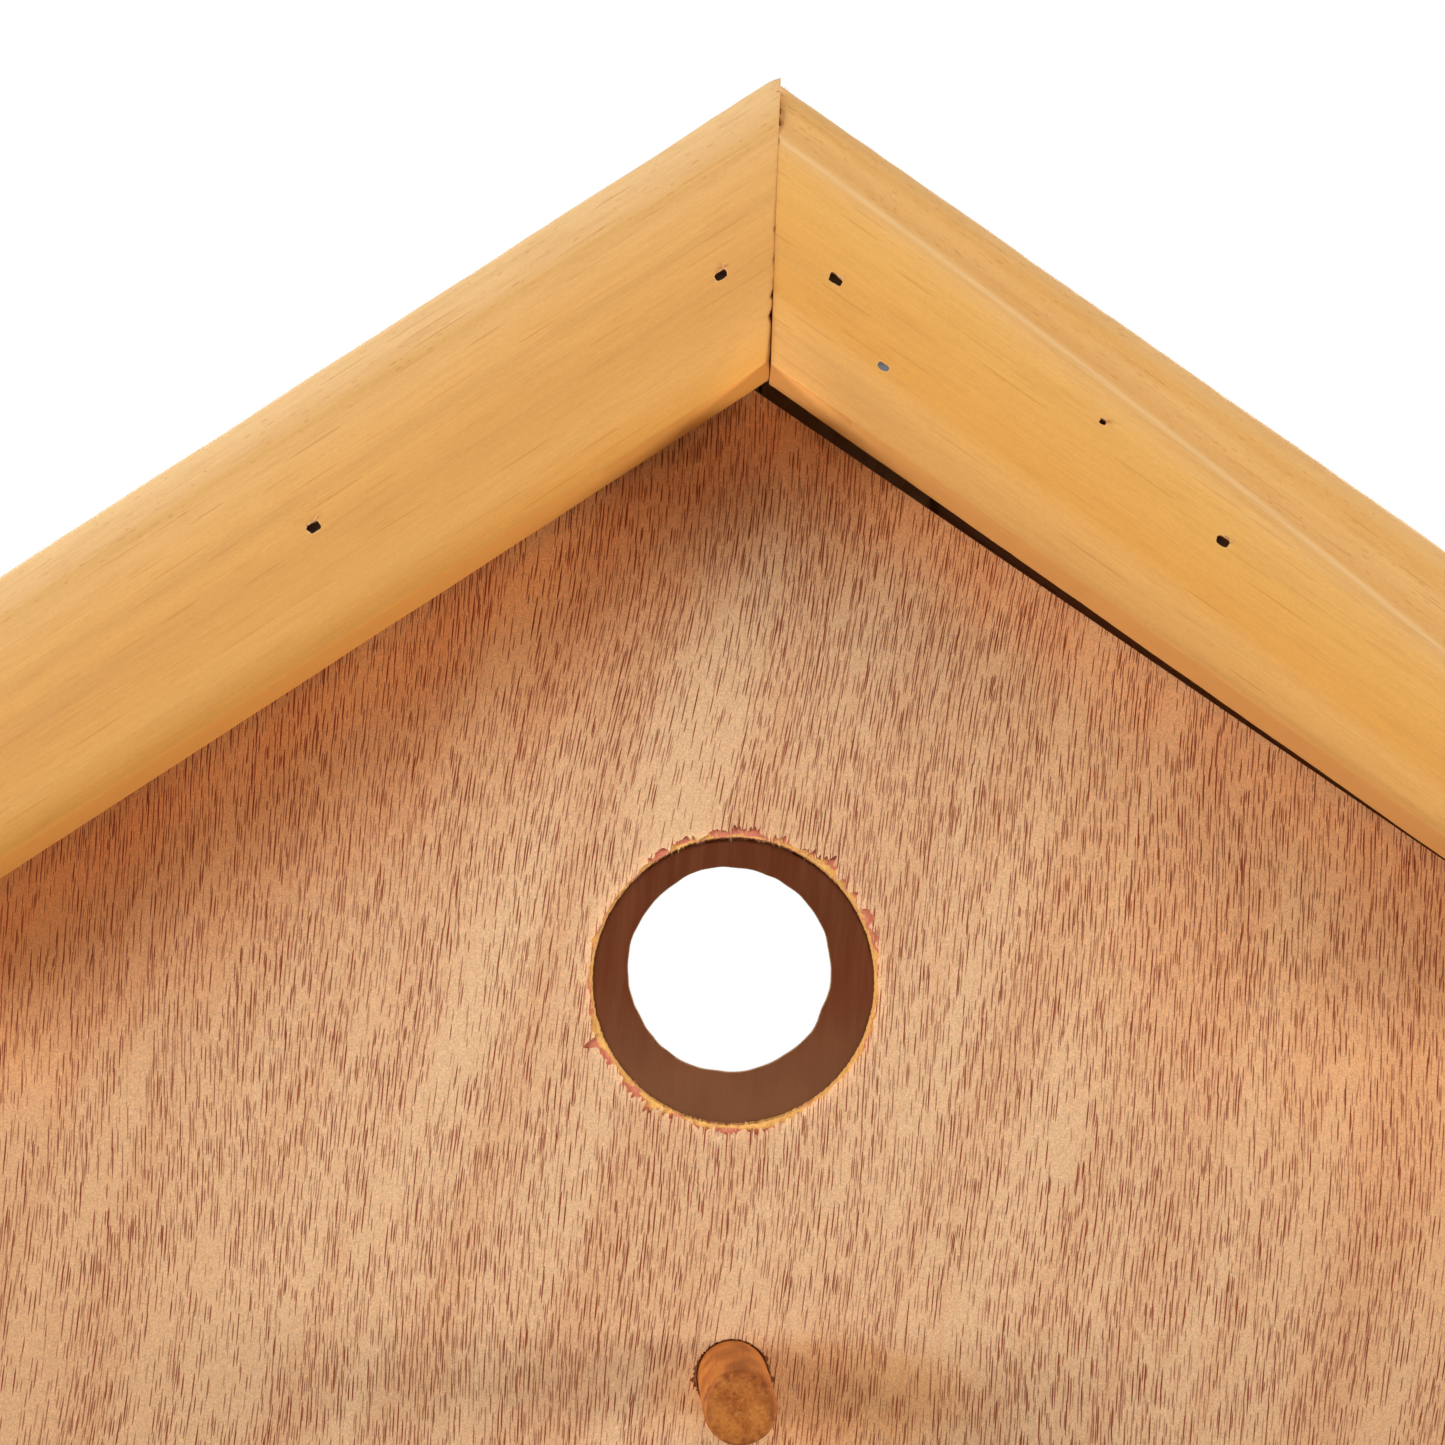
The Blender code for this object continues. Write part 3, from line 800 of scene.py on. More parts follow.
@dataclass(frozen=True)
class TornFibre:
    """Loose splinters and raised fibres."""

    name: str
    first: Colour
    second: Colour

    def material(self) -> bpy.types.Material:
        """Return the finish as a material.

        Returns:
            The material.
        """
        make = Recipe(self.name, 0.8)
        patch = make.noise(make.space((1.9 * MM, 1.9 * MM, 1.9 * MM)), 2.0)
        fibre = make.noise(make.space((0.1 * MM, 0.1 * MM, 0.7 * MM)), 2.0)
        colour = make.mix(make.step(patch, 0.46, 0.56), self.first, self.second)
        return make.done(make.scale(colour, make.swing(fibre, 0.3)), fibre, 0.05 * MM)


@dataclass(frozen=True)
class StudioFloor:
    """Pale matt floor."""

    name: str = "studio_floor"
    deep: Colour = (0.52, 0.52, 0.52)
    pale: Colour = (0.56, 0.56, 0.56)

    def material(self) -> bpy.types.Material:
        """Return the finish as a material.

        Returns:
            The material.
        """
        make = Recipe(self.name, 0.9)
        cloud = make.noise(make.space((0.25, 0.25, 0.25)), 2.0)
        return make.done(make.mix(cloud, self.deep, self.pale), None, 0.0)


# ---------------------------------------------------------------- making pieces


def wave(x: float, y: float, seed: float) -> float:
    """Return smooth noise between about -1 and 1."""
    return noise.noise(Vector((x, y, seed)))


def bump(x: float, width: float) -> float:
    """Return a bell curve, 1 at 0."""
    return math.exp(-((x / width) ** 2))


def ease(x: float, low: float, high: float) -> float:
    """Return 0 below low and 1 above high, with a soft rise."""
    t = min(1.0, max(0.0, (x - low) / (high - low)))
    return t * t * (3 - 2 * t)


def add_piece(
    name: str,
    shape: Shape,
    finish: bpy.types.Material,
    nodes: Iterable[str] = (),
    body: str = HOUSE,
    sharp: float = 35.0,
) -> bpy.types.Object:
    """Turn a bmesh into a piece of the birdhouse.

    Args:
        name: The piece's name.
        shape: Its shape; it is freed.
        finish: Its material.
        nodes: The model's nodes that it stands for.
        body: The body that it rides on.
        sharp: Edges bent further than this many degrees stay sharp.

    Returns:
        The new object.
    """
    bmesh.ops.recalc_face_normals(shape, faces=shape.faces)
    mesh = bpy.data.meshes.new(name)
    shape.to_mesh(mesh)
    shape.free()
    mesh.shade_smooth()
    mesh.set_sharp_from_angle(angle=math.radians(sharp))
    mesh.materials.append(finish)
    piece = bpy.data.objects.new(name, mesh)
    bpy.context.scene.collection.objects.link(piece)
    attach(piece, body)
    if nodes:
        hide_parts(*nodes)
    return piece


def cut_out(piece: bpy.types.Object, cutter: Shape) -> None:
    """Cut a shape out of a piece for good; the cutter is freed.

    Args:
        piece: The piece.
        cutter: The shape that is taken away.
    """
    bmesh.ops.recalc_face_normals(cutter, faces=cutter.faces)
    mesh = bpy.data.meshes.new("cutter")
    cutter.to_mesh(mesh)
    cutter.free()
    tool = bpy.data.objects.new("cutter", mesh)
    bpy.context.scene.collection.objects.link(tool)
    modifier = piece.modifiers.new("cut", "BOOLEAN")
    modifier.operation = "DIFFERENCE"
    modifier.solver = "EXACT"
    modifier.object = tool
    graph = bpy.context.evaluated_depsgraph_get()
    cut = bpy.data.meshes.new_from_object(piece.evaluated_get(graph), depsgraph=graph)
    piece.modifiers.clear()
    piece.data = cut
    bpy.data.objects.remove(tool, do_unlink=True)


def add_sliver(shape: Shape, root: Vector, along: Vector, width: float) -> None:
    """Add one thin splinter that tapers to a point.

    Args:
        shape: The shape that it is added to.
        root: Its thick end.
        along: Its direction and length.
        width: Its width at the thick end.
    """
    turn = along.to_track_quat("Z", "Y").to_matrix().to_4x4()
    place = Matrix.Translation(root + along / 2) @ turn @ Matrix.Diagonal((1.0, 0.45, 1.0, 1.0))
    bmesh.ops.create_cone(
        shape,
        cap_ends=True,
        segments=5,
        radius1=width / 2,
        radius2=width / 9,
        depth=along.length,
        matrix=place,
    )


def soften(shape: Shape, edges: list[bmesh.types.BMEdge], width: float) -> None:
    """Round the given edges.

    Args:
        shape: The shape.
        edges: The edges.
        width: Width of the rounding.
    """
    bmesh.ops.bevel(
        shape,
        geom=edges,
        offset=width,
        segments=3,
        profile=0.5,
        affect="EDGES",
        material=-1,
        clamp_overlap=True,
    )


def prism(outline: Sequence[Point2], y_near: float, y_far: float, ease_width: float) -> Shape:
    """Return an outline of (x, z) points extruded along y, with all its edges eased.

    Args:
        outline: The outline.
        y_near: The y that it starts at.
        y_far: The y that it ends at.
        ease_width: Width of the edges' rounding.

    Returns:
        The solid.
    """
    shape = bmesh.new()
    corners = bmesh.ops.create_circle(shape, cap_ends=True, segments=len(outline), radius=1.0)["verts"]
    for corner, (x, z) in zip(corners, outline):
        corner.co = (x, y_near, z)
    grown = bmesh.ops.extrude_face_region(shape, geom=shape.faces[:])["geom"]
    far = [item for item in grown if isinstance(item, Vert)]
    bmesh.ops.translate(shape, verts=far, vec=(0.0, y_far - y_near, 0.0))
    soften(shape, shape.edges[:], ease_width)
    return shape


@dataclass(frozen=True)
class RoofLines:
    """The roof's slope and ridge, and where points along it lie."""

    slope: float
    ridge_z: float

    def point(self, side: Side, along: float, down: float) -> Point2:
        """Return (x, z) at a distance down the slope and down into the roof.

        Args:
            side: The half of the roof.
            along: Distance from the ridge, along the slope.
            down: Distance under the roof's top, square to it.

        Returns:
            The point.
        """
        x = along * math.cos(self.slope) - down * math.sin(self.slope)
        z = self.ridge_z - along * math.sin(self.slope) - down * math.cos(self.slope)
        return side.value * x, z

    def height(self, x: float, down: float) -> float:
        """Return the height over x of a plane parallel to the roof, down below its top."""
        return self.ridge_z - down / math.cos(self.slope) - abs(x) * math.tan(self.slope)

    def turn(self, side: Side) -> tuple[float, float, float]:
        """Return the turn that lays a grain along this side's slope."""
        return (0.0, side.value * self.slope, 0.0)


def node_centre(node: str) -> Vector:
    """Return the middle of a node's box."""
    low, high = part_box(node)
    return (low + high) / 2


def nodes_named(prefix: str) -> list[str]:
    """Return the model's nodes whose names start with a prefix."""
    return sorted(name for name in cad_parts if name.startswith(prefix))


# ---------------------------------------------------------------- barge trims


@dataclass
class BargeTrim:
    """One mitred trim board along the edge of the roof."""

    side: Side
    end: End
    lines: RoofLines
    finish: Softwood
    top_round: Point2
    foot_round: Point2
    bevelled: bool = False
    seed: float = 0.0
    width: float = 26.5 * MM
    thickness: float = 12.0 * MM
    length: float = 143.0 * MM
    mitre_foot_x: float = 0.30 * MM
    mitre_lean: float = math.radians(0.98)
    mitre_gap: float = 0.004 * MM
    blunt_tip: float = 0.0
    foot_fade: float = 0.15
    foot_fade_run: Point2 = (4 * MM, 60 * MM)
    pit_size: Point2 = (1.62 * MM, 1.08 * MM)
    pit_depth: float = 1.6 * MM
    steps: int = 320
    face_points: int = 84
    dents: list[tuple[float, float, float]] = field(default_factory=list)
    chips: tuple[Point2, ...] = ()
    pit_scale: dict[str, float] = field(default_factory=dict)
    flush: tuple[str, ...] = ()

    def __post_init__(self) -> None:
        """Name the trim after its node, and read where its outer face stands."""
        self.name = f"{self.end.name.lower()}_{self.side.name.lower()}_trim"
        low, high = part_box(self.name)
        self.face_y = low.y if self.end is End.FRONT else high.y

    def section(self) -> list[Point2]:
        """Return the closed section as (depth, down) points, starting at the back's top.

        Returns:
            The points.
        """
        points = [(self.thickness, 0.0), (self.thickness * 0.6, 0.0)]
        corner = 9
        wide, deep = self.top_round
        for step in range(corner):
            angle = math.pi / 2 * step / (corner - 1)
            points.append((deep * (1 - math.sin(angle)), wide * (1 - math.cos(angle))))
        low_wide, low_deep = self.foot_round
        for step in range(1, self.face_points):
            share = step / self.face_points
            points.append((0.0, wide + (self.width - wide - low_wide) * share))
        for step in range(corner):
            angle = math.pi / 2 * step / (corner - 1)
            down = self.width - low_wide * (1 - math.sin(angle))
            points.append((low_deep * (1 - math.cos(angle)), down))
        points += [(self.thickness * 0.6, self.width), (self.thickness, self.width)]
        points.append((self.thickness, self.width / 2))
        return points

    def mitre(self, down: float) -> float:
        """Return how far along the slope the mitre cuts a line at this depth.

        Args:
            down: Distance down the trim's face.

        Returns:
            The distance from the ridge.
        """
        tilt = math.tan(self.mitre_lean)
        foot_z = self.lines.height(0.0, self.width)
        x_cut = self.mitre_foot_x + self.side.value * self.mitre_gap / 2
        x, z = self.lines.point(self.side, 0.0, down)
        run = self.side.value * math.cos(self.lines.slope) + tilt * math.sin(self.lines.slope)
        return (x_cut + tilt * (z - foot_z) - x) / run

    def arris(self, along: float) -> float:
        """Return how far down the face the planed bevel reaches; it widens towards the eave."""
        away = along / MM
        return (5.7 + 0.012 * away + 0.00035 * away * away) * MM

    def share(self, flat: Vector) -> float:
        """Return how far across the board a vertex lies, with the planed bevel as one quarter.

        Args:
            flat: The vertex on the straight blank, as place() takes it.

        Returns:
            The share, 0 at the top edge.
        """
        share, _, down = flat
        if not self.bevelled:
            return down / self.width
        edge = self.arris(share * self.length)
        if down < edge:
            return 0.25 * down / edge
        return 0.25 + 0.75 * (down - edge) / (self.width - edge)

    def chipping(self, down: float) -> float:
        """Return how much of the mitred end has chipped away at this depth.

        Args:
            down: Distance down the trim's face.

        Returns:
            The chips' size, in metres.
        """
        rough = wave(down / (0.9 * MM), 0.0, self.seed + 5) + 0.5 * wave(down / (0.3 * MM), 0.0, self.seed)
        chip = max(0.0, rough - 0.25) * 0.30 * MM
        for at, size in self.chips:
            chip += 0.75 * size * bump(down - at, 0.62 * size)
        if self.side is Side.LEFT:
            chip += 0.24 * MM * ease(down, 0.70 * self.width, 0.97 * self.width)
        return chip

    def relief(self, along: float, down: float) -> float:
        """Return how far the face lies below its flat, in metres.

        Args:
            along: Distance from the ridge.
            down: Distance down the face.

        Returns:
            The depth.
        """
        sag = 0.10 * MM * wave(along / (24 * MM), down / (8 * MM), self.seed)
        sag += 0.03 * MM * wave(along / (7 * MM), down / (0.8 * MM), self.seed + 2) + 0.05 * MM
        if self.bevelled:
            edge = self.arris(along)
            sag += max(0.0, edge - down) * math.tan(math.radians(11))
            sag += 0.05 * MM * ease(edge - down, 0.0, 1 * MM) * wave(along / (2.2 * MM), down / (1.4 * MM), 7)
            sag -= 0.09 * MM * bump(down - edge, 0.40 * MM)
        for at, low, size in self.dents:
            away = math.hypot((along - at) / 2.2, down - low)
            sag += 0.16 * MM * bump(away, size) - 0.05 * MM * bump(away - 1.3 * size, 0.4 * size)
        return sag

    def foot_depth(self, depth: float, down: float, from_mitre: float) -> float:
        """Return a vertex's depth, with the foot's rounding flatter towards the mitre.

        Args:
            depth: Depth from the face, on the straight blank.
            down: Distance down the face.
            from_mitre: Distance from the mitre.

        Returns:
            The new depth.
        """
        if down < self.width / 2 or depth > 1.01 * self.foot_round[1]:
            return depth
        return depth * (self.foot_fade + (1 - self.foot_fade) * ease(from_mitre, *self.foot_fade_run))

    def place(self, flat: Vector) -> tuple[Vector, float, float]:
        """Return a vertex's place, edge wear with painted highlight, and dirt, from its place on the straight
        blank.

        Args:
            flat: Share of the length, depth from the face, and distance down the face.

        Returns:
            The place in the frame, and the edge wear with painted highlight and the dirt there, 0 to 1.
        """
        share, depth, down = flat
        start = self.mitre(down)
        run = self.length - start
        along = start + run * (0.35 * share + 0.65 * share * share)
        from_mitre = along - start
        depth = self.foot_depth(depth, down, from_mitre)
        front = max(0.0, 1.0 - depth / (0.6 * self.thickness))
        chip = self.chipping(down) * front
        pulled = max(front, bump(down, 1.5 * MM))
        blunt = self.blunt_tip * bump(down, 0.7 * MM)
        moved = along + (0.6 * chip * pulled + blunt) * bump(from_mitre, 0.8 * MM)
        sunk = self.relief(along, down) * front
        sunk += (0.05 * MM + 0.5 * chip) * math.exp(-from_mitre / (0.30 * MM)) * front
        sunk += 0.5 * MM * math.exp(-(self.length - along) / (0.4 * MM)) * front
        top = bump(down, 0.8 * MM)
        low = bump(down - self.width, 0.8 * MM)
        edge = 0.10 * MM + 0.09 * MM * wave(along / (11 * MM), 0.0, self.seed + 9)
        edge += 0.05 * MM * wave(along / (2.4 * MM), 0.0, self.seed + 11)
        worn_tip = self.blunt_tip * bump(from_mitre, 0.9 * MM)
        down_now = down + (edge + worn_tip) * top - 0.6 * edge * low
        x, z = self.lines.point(self.side, moved, down_now)
        y = self.face_y - self.end.value * (depth + sunk)
        # Lighter line along the arris and the top edge: partly edge wear, partly a painted highlight where
        # the edge catches the light.
        wear = bump(down - self.arris(along), 0.32 * MM) if self.bevelled else 0.0
        wear = max(wear, 0.5 * top * front)
        grime = 0.22 + 0.7 * ease(down, 0.45 * self.width, 0.85 * self.width) + 1.3 * chip / MM
        dirt = math.exp(-from_mitre / (0.22 * MM)) * grime * (1 + 0.6 * wave(down / MM, 1.0, self.seed))
        return Vector((x, y, z)), wear * front, max(0.0, dirt) * front

    def pits(self) -> Shape:
        """Return the cutter for the pits that the brads sank into.

        Returns:
            The cutter.
        """
        cutter = bmesh.new()
        for node in nodes_named(f"{self.name}_brad"):
            middle = node_centre(node)
            lie = Matrix.Rotation(self.side.value * self.lines.slope, 4, "Y")
            place = Matrix.Translation((middle.x, self.face_y, middle.z)) @ lie
            made = bmesh.ops.create_cone(
                cutter,
                cap_ends=True,
                segments=22,
                radius1=1.0,
                radius2=1.0,
                depth=2 * self.pit_depth,
                matrix=Matrix.Rotation(math.pi / 2, 4, "X"),
            )["verts"]
            for vert in made:
                self.shape_pit(vert, middle)
            size = self.pit_scale.get(node, 1.0)
            bmesh.ops.scale(cutter, vec=(size, 1.0, size), verts=made)
            bmesh.ops.transform(cutter, matrix=place, verts=made)
        return cutter

    def raised_fibres(self) -> bpy.types.Object:
        """Model the pale fibres that stand up round the brads' pits and at the mitre's tip.

        Returns:
            The fibres, as one piece.
        """
        chance = random.Random(f"{self.name} fibres")
        shape = bmesh.new()
        slope = -self.side.value * self.lines.slope
        run = Vector((math.cos(slope), 0.0, math.sin(slope)))
        rise = Vector((-math.sin(slope), 0.0, math.cos(slope)))
        out = Vector((0.0, float(self.end.value), 0.0))
        for node in nodes_named(f"{self.name}_brad"):
            if node in self.flush:
                continue
            middle = node_centre(node)
            spot = Vector((middle.x, self.face_y, middle.z)) - out * 0.08 * MM
            half_x, half_z = (size * self.pit_scale.get(node, 1.0) / 2 for size in self.pit_size)
            for _ in range(9):
                across = chance.uniform(0.85, 1.35) * half_z
                start = spot + rise * across + run * chance.uniform(-0.5, 0.9) * half_x
                lean = run * chance.uniform(0.7, 1.0) + rise * chance.uniform(-0.1, 0.5)
                lean += out * chance.uniform(0.05, 0.3)
                add_sliver(shape, start, lean.normalized() * chance.uniform(0.35, 0.8) * MM, 0.16 * MM)
        tip = Vector((0.5 * MM, self.face_y - out.y * 0.9 * MM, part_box(self.name)[1].z - 1.6 * MM))
        for _ in range(7 if self.bevelled else 0):
            offset = (chance.uniform(-0.2, 0.6), chance.uniform(-0.2, 0.4), chance.uniform(-0.8, 0.5))
            start = tip + Vector(offset) * MM
            lean = run * chance.uniform(-0.6, 0.9) + rise * chance.uniform(0.2, 1.0)
            add_sliver(shape, start, lean.normalized() * chance.uniform(0.4, 1.0) * MM, 0.17 * MM)
        finish = TornFibre(f"{self.name}_fibre", (0.86, 0.60, 0.34), (0.74, 0.42, 0.17))
        return add_piece(f"{self.name}_fibres", shape, finish.material())

    def shape_pit(self, vert: Vert, middle: Vector) -> None:
        """Turn a unit circle into the blunt, uneven oblong that a brad's head leaves.

        Args:
            vert: A vertex of the unit circle.
            middle: The middle of the brad's node.
        """
        angle = math.atan2(vert.co.z, vert.co.x)
        blunt = (abs(math.cos(angle)) ** 4.5 + abs(math.sin(angle)) ** 4.5) ** (-1 / 4.5)
        uneven = 1 + 0.30 * wave(math.cos(angle) * 1.3, math.sin(angle) * 1.3, middle.x / MM)
        narrow = 0.92 if vert.co.y * self.end.value < 0 else 1.0
        reach = blunt * uneven * narrow / 2
        vert.co.x = self.pit_size[0] * reach * math.cos(angle)
        vert.co.z = self.pit_size[1] * reach * math.sin(angle)

    def build(self) -> bpy.types.Object:
        """Model and dress the trim.

        Returns:
            The trim's piece.
        """
        shape = bmesh.new()
        section = self.section()
        ring = bmesh.ops.create_circle(shape, cap_ends=False, segments=len(section), radius=1.0)["verts"]
        for vert, (depth, down) in zip(ring, section):
            vert.co = (0.0, depth, down)
        bmesh.ops.spin(
            shape,
            geom=ring + shape.edges[:],
            cent=(0.0, 0.0, 0.0),
            axis=(1.0, 0.0, 0.0),
            dvec=(1.0 / self.steps, 0.0, 0.0),
            angle=0.0,
            steps=self.steps,
            use_merge=False,
        )
        bmesh.ops.holes_fill(shape, edges=[edge for edge in shape.edges if edge.is_boundary], sides=0)
        across = shape.verts.layers.float.new("across")
        wear = shape.verts.layers.float.new("wear")
        dirt = shape.verts.layers.float.new("dirt")
        for vert in shape.verts:
            vert[across] = self.share(vert.co)
            vert.co, vert[wear], vert[dirt] = self.place(vert.co)
        piece = add_piece(self.name + "_wood", shape, self.finish.material(), [self.name])
        cut_out(piece, self.pits())
        if self.end is End.FRONT:
            self.raised_fibres()
        return piece


# ---------------------------------------------------------------- plywood fronts


@dataclass(frozen=True)
class Tear:
    """A place on a drilled rim where veneer has torn away: angle, spread and depth."""

    angle: float
    spread: float
    depth: float


@dataclass
class DrilledHole:
    """A round hole in plywood, with a ragged rim."""

    centre: Point2
    radius: float
    tears: tuple[Tear, ...] = ()
    teeth: float = 0.10 * MM
    wobble: float = 0.0
    segments: int = 960
    seed: float = 0.0
    taller: float = 0.0

    def core_radius(self, angle: float) -> float:
        """Return the radius of the hole through the middle ply.

        Args:
            angle: The angle round the hole.

        Returns:
            The radius.
        """
        x, z = math.cos(angle), math.sin(angle)
        drift = self.taller * max(0.0, z) ** 2
        fine = self.radius / (0.30 * MM)
        slow = self.wobble * (wave(x * 2.6, z * 2.6, self.seed) + 0.5 * wave(x * 6, z * 6, self.seed))
        return self.radius + drift + slow + self.teeth * wave(x * fine, z * fine, self.seed + 3)

    def face_radius(self, angle: float) -> float:
        """Return the radius of the hole in the face veneer, larger where it tore.

        Args:
            angle: The angle round the hole.

        Returns:
            The radius.
        """
        torn = 0.0
        for tear in self.tears:
            off = (math.degrees(angle) - tear.angle + 180) % 360 - 180
            torn = max(torn, tear.depth * bump(off, tear.spread))
        x, z = math.cos(angle), math.sin(angle)
        jag = 0.75 + 1.1 * wave(x * self.radius / (0.42 * MM), z * 12.0, self.seed + 6)
        jag += 0.7 * wave(x * self.radius / (1.5 * MM), z * self.radius / (1.5 * MM), self.seed + 8)
        lip = 0.20 * MM * max(0.0, 0.5 + 1.2 * wave(x * 38, z * 38, self.seed + 4))
        return self.core_radius(angle) + lip + torn * max(0.0, jag)

    def rim(self, shape: Shape, y: float, radius: Callable[[float], float]) -> None:
        """Add the hole's loop of edges to a flat outline at y.

        Args:
            shape: The outline.
            y: The outline's y.
            radius: Gives the radius by angle.
        """
        verts = bmesh.ops.create_circle(shape, cap_ends=False, segments=self.segments, radius=1.0)["verts"]
        for number, vert in enumerate(verts):
            angle = 2 * math.pi * number / self.segments
            reach = radius(angle)
            vert.co = (
                self.centre[0] + reach * math.cos(angle),
                y,
                self.centre[1] + reach * math.sin(angle),
            )


@dataclass
class PlywoodFront:
    """One plywood gable: a face veneer, a middle ply and an inner veneer."""

    end: End
    outline: list[Point2]
    entrance: DrilledHole
    small_holes: list[DrilledHole]
    face: Veneer
    inner: InnerPly
    veneer: float = 0.28 * MM
    pit_size: Point2 = (2.0 * MM, 1.2 * MM)

    @property
    def name(self) -> str:
        """The name of the panel's node."""
        return f"{self.end.name.lower()}_panel"

    def pit_rims(self, shape: Shape, y: float) -> None:
        """Add the brads' square pits to a flat outline at y.

        Args:
            shape: The outline.
            y: The outline's y.
        """
        for node in nodes_named(f"{self.name}_brad"):
            middle = node_centre(node)
            corners = bmesh.ops.create_circle(shape, cap_ends=False, segments=4, radius=1.0)["verts"]
            for corner, (sx, sz) in zip(corners, ((1, 1), (-1, 1), (-1, -1), (1, -1))):
                half_x, half_z = self.pit_size[0] / 2, self.pit_size[1] / 2
                corner.co = (middle.x + sx * half_x, y, middle.z + sz * half_z)

    def sheet(
        self, y_out: float, y_in: float, rim: Callable[[DrilledHole], Callable[[float], float]], pits: bool
    ) -> Shape:
        """Return one ply with its holes.

        Args:
            y_out: The y of the face nearer the outside.
            y_in: The y of the other face.
            rim: Gives each hole's radius by angle in this ply.
            pits: Whether the brads' pits pass through this ply.

        Returns:
            The ply.
        """
        shape = bmesh.new()
        count = len(self.outline)
        corners = bmesh.ops.create_circle(shape, cap_ends=False, segments=count, radius=1.0)["verts"]
        for corner, (x, z) in zip(corners, self.outline):
            corner.co = (x, y_out, z)
        for hole in (self.entrance, *self.small_holes):
            hole.rim(shape, y_out, rim(hole))
        if pits:
            self.pit_rims(shape, y_out)
        bmesh.ops.triangle_fill(shape, use_beauty=True, edges=shape.edges[:], normal=(0.0, -1.0, 0.0))
        grown = bmesh.ops.extrude_face_region(shape, geom=shape.faces[:])["geom"]
        far = [item for item in grown if isinstance(item, Vert)]
        bmesh.ops.translate(shape, verts=far, vec=(0.0, y_in - y_out, 0.0))
        return shape

    def build(self) -> list[bpy.types.Object]:
        """Model and dress the three plies.

        Returns:
            The plies' pieces.
        """
        low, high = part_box(self.name)
        out, back = (low.y, high.y) if self.end is End.FRONT else (high.y, low.y)
        inward = -self.end.value * self.veneer
        core = PlyCore(self.name + "_core", self.entrance.centre, self.entrance.radius).material()
        plies = [
            ("face", out, out + inward, "face_radius", self.face.material(), True),
            ("middle", out + inward, back - inward, "core_radius", core, True),
            ("inner", back - inward, back, "core_radius", self.inner.material(), False),
        ]
        made = []
        for word, near, far, rule, finish, pits in plies:
            shape = self.sheet(near, far, lambda hole, rule=rule: getattr(hole, rule), pits)
            nodes = [self.name] if word == "middle" else []
            made.append(add_piece(f"{self.name}_{word}_ply", shape, finish, nodes))
        return made


@dataclass
class RimFibres:
    """Fine torn fibres that stand round a drilled rim."""

    name: str
    hole: DrilledHole
    y: float
    count: int
    length: float
    finish: TornFibre
    seed: int = 3

    def build(self) -> bpy.types.Object:
        """Model and dress the fibres.

        Returns:
            The fibres, as one piece.
        """
        chance = random.Random(self.seed)
        shape = bmesh.new()
        for _ in range(self.count):
            angle = chance.uniform(0, 2 * math.pi)
            inner, outer = self.hole.core_radius(angle), self.hole.face_radius(angle)
            reach = inner + (outer - inner) * chance.random() + 0.02 * MM
            root = Vector((math.cos(angle), 0.0, math.sin(angle))) * reach
            root += Vector((self.hole.centre[0], self.y + 0.02 * MM, self.hole.centre[1]))
            lean = chance.gauss(0.1, 0.22)
            up = 1 if math.sin(angle) < 0 else -1
            along = Vector((lean, -chance.uniform(0.0, 0.25), up if chance.random() < 0.75 else -up))
            size = self.length * chance.uniform(0.25, 1.0)
            add_sliver(shape, root, along.normalized() * size, 0.09 * MM * chance.uniform(0.6, 1.6))
        return add_piece(self.name, shape, self.finish.material())


# ---------------------------------------------------------------- boards


@dataclass
class Board:
    """A plain softwood board that stands for one node."""

    node: str
    outline: list[Point2]
    finish: Softwood
    body: str = HOUSE
    arris: float = 0.6 * MM

    def build(self) -> bpy.types.Object:
        """Model and dress the board.

        Returns:
            The board's piece.
        """
        low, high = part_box(self.node)
        shape = prism(self.outline, low.y, high.y, self.arris)
        return add_piece(
            self.node + "_wood", shape, self.finish.material(), [self.node], self.body
        )


def upright_outline(node: str) -> list[Point2]:
    """Return the four (x, z) corners of a node's box."""
    low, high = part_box(node)
    return [(low.x, low.z), (high.x, low.z), (high.x, high.z), (low.x, high.z)]


# ---------------------------------------------------------------- the birdhouse


# Stain along each side's trims: share of the width, colour.
STAIN_BANDS: dict[Side, Bands] = {
    Side.LEFT: (
        (0.02, (0.774, 0.502, 0.236)),
        (0.14, (0.737, 0.438, 0.184)),
        (0.19, (0.682, 0.373, 0.123)),
        (0.24, (0.728, 0.406, 0.144)),
        (0.37, (0.719, 0.378, 0.118)),
        (0.43, (0.664, 0.342, 0.105)),
        (0.50, (0.714, 0.360, 0.103)),
        (0.62, (0.659, 0.317, 0.088)),
        (0.86, (0.701, 0.351, 0.096)),
        (0.97, (0.664, 0.296, 0.061)),
    ),
    Side.RIGHT: (
        (0.02, (0.734, 0.426, 0.169)),
        (0.08, (0.687, 0.360, 0.105)),
        (0.13, (0.724, 0.400, 0.136)),
        (0.20, (0.668, 0.346, 0.108)),
        (0.26, (0.739, 0.412, 0.140)),
        (0.32, (0.753, 0.398, 0.112)),
        (0.46, (0.739, 0.376, 0.094)),
        (0.72, (0.715, 0.337, 0.073)),
        (0.82, (0.729, 0.369, 0.105)),
        (0.96, (0.668, 0.320, 0.089)),
    ),
}
STAINED_LATEWOOD: dict[Side, Colour] = {Side.LEFT: (0.60, 0.29, 0.085), Side.RIGHT: (0.66, 0.30, 0.065)}

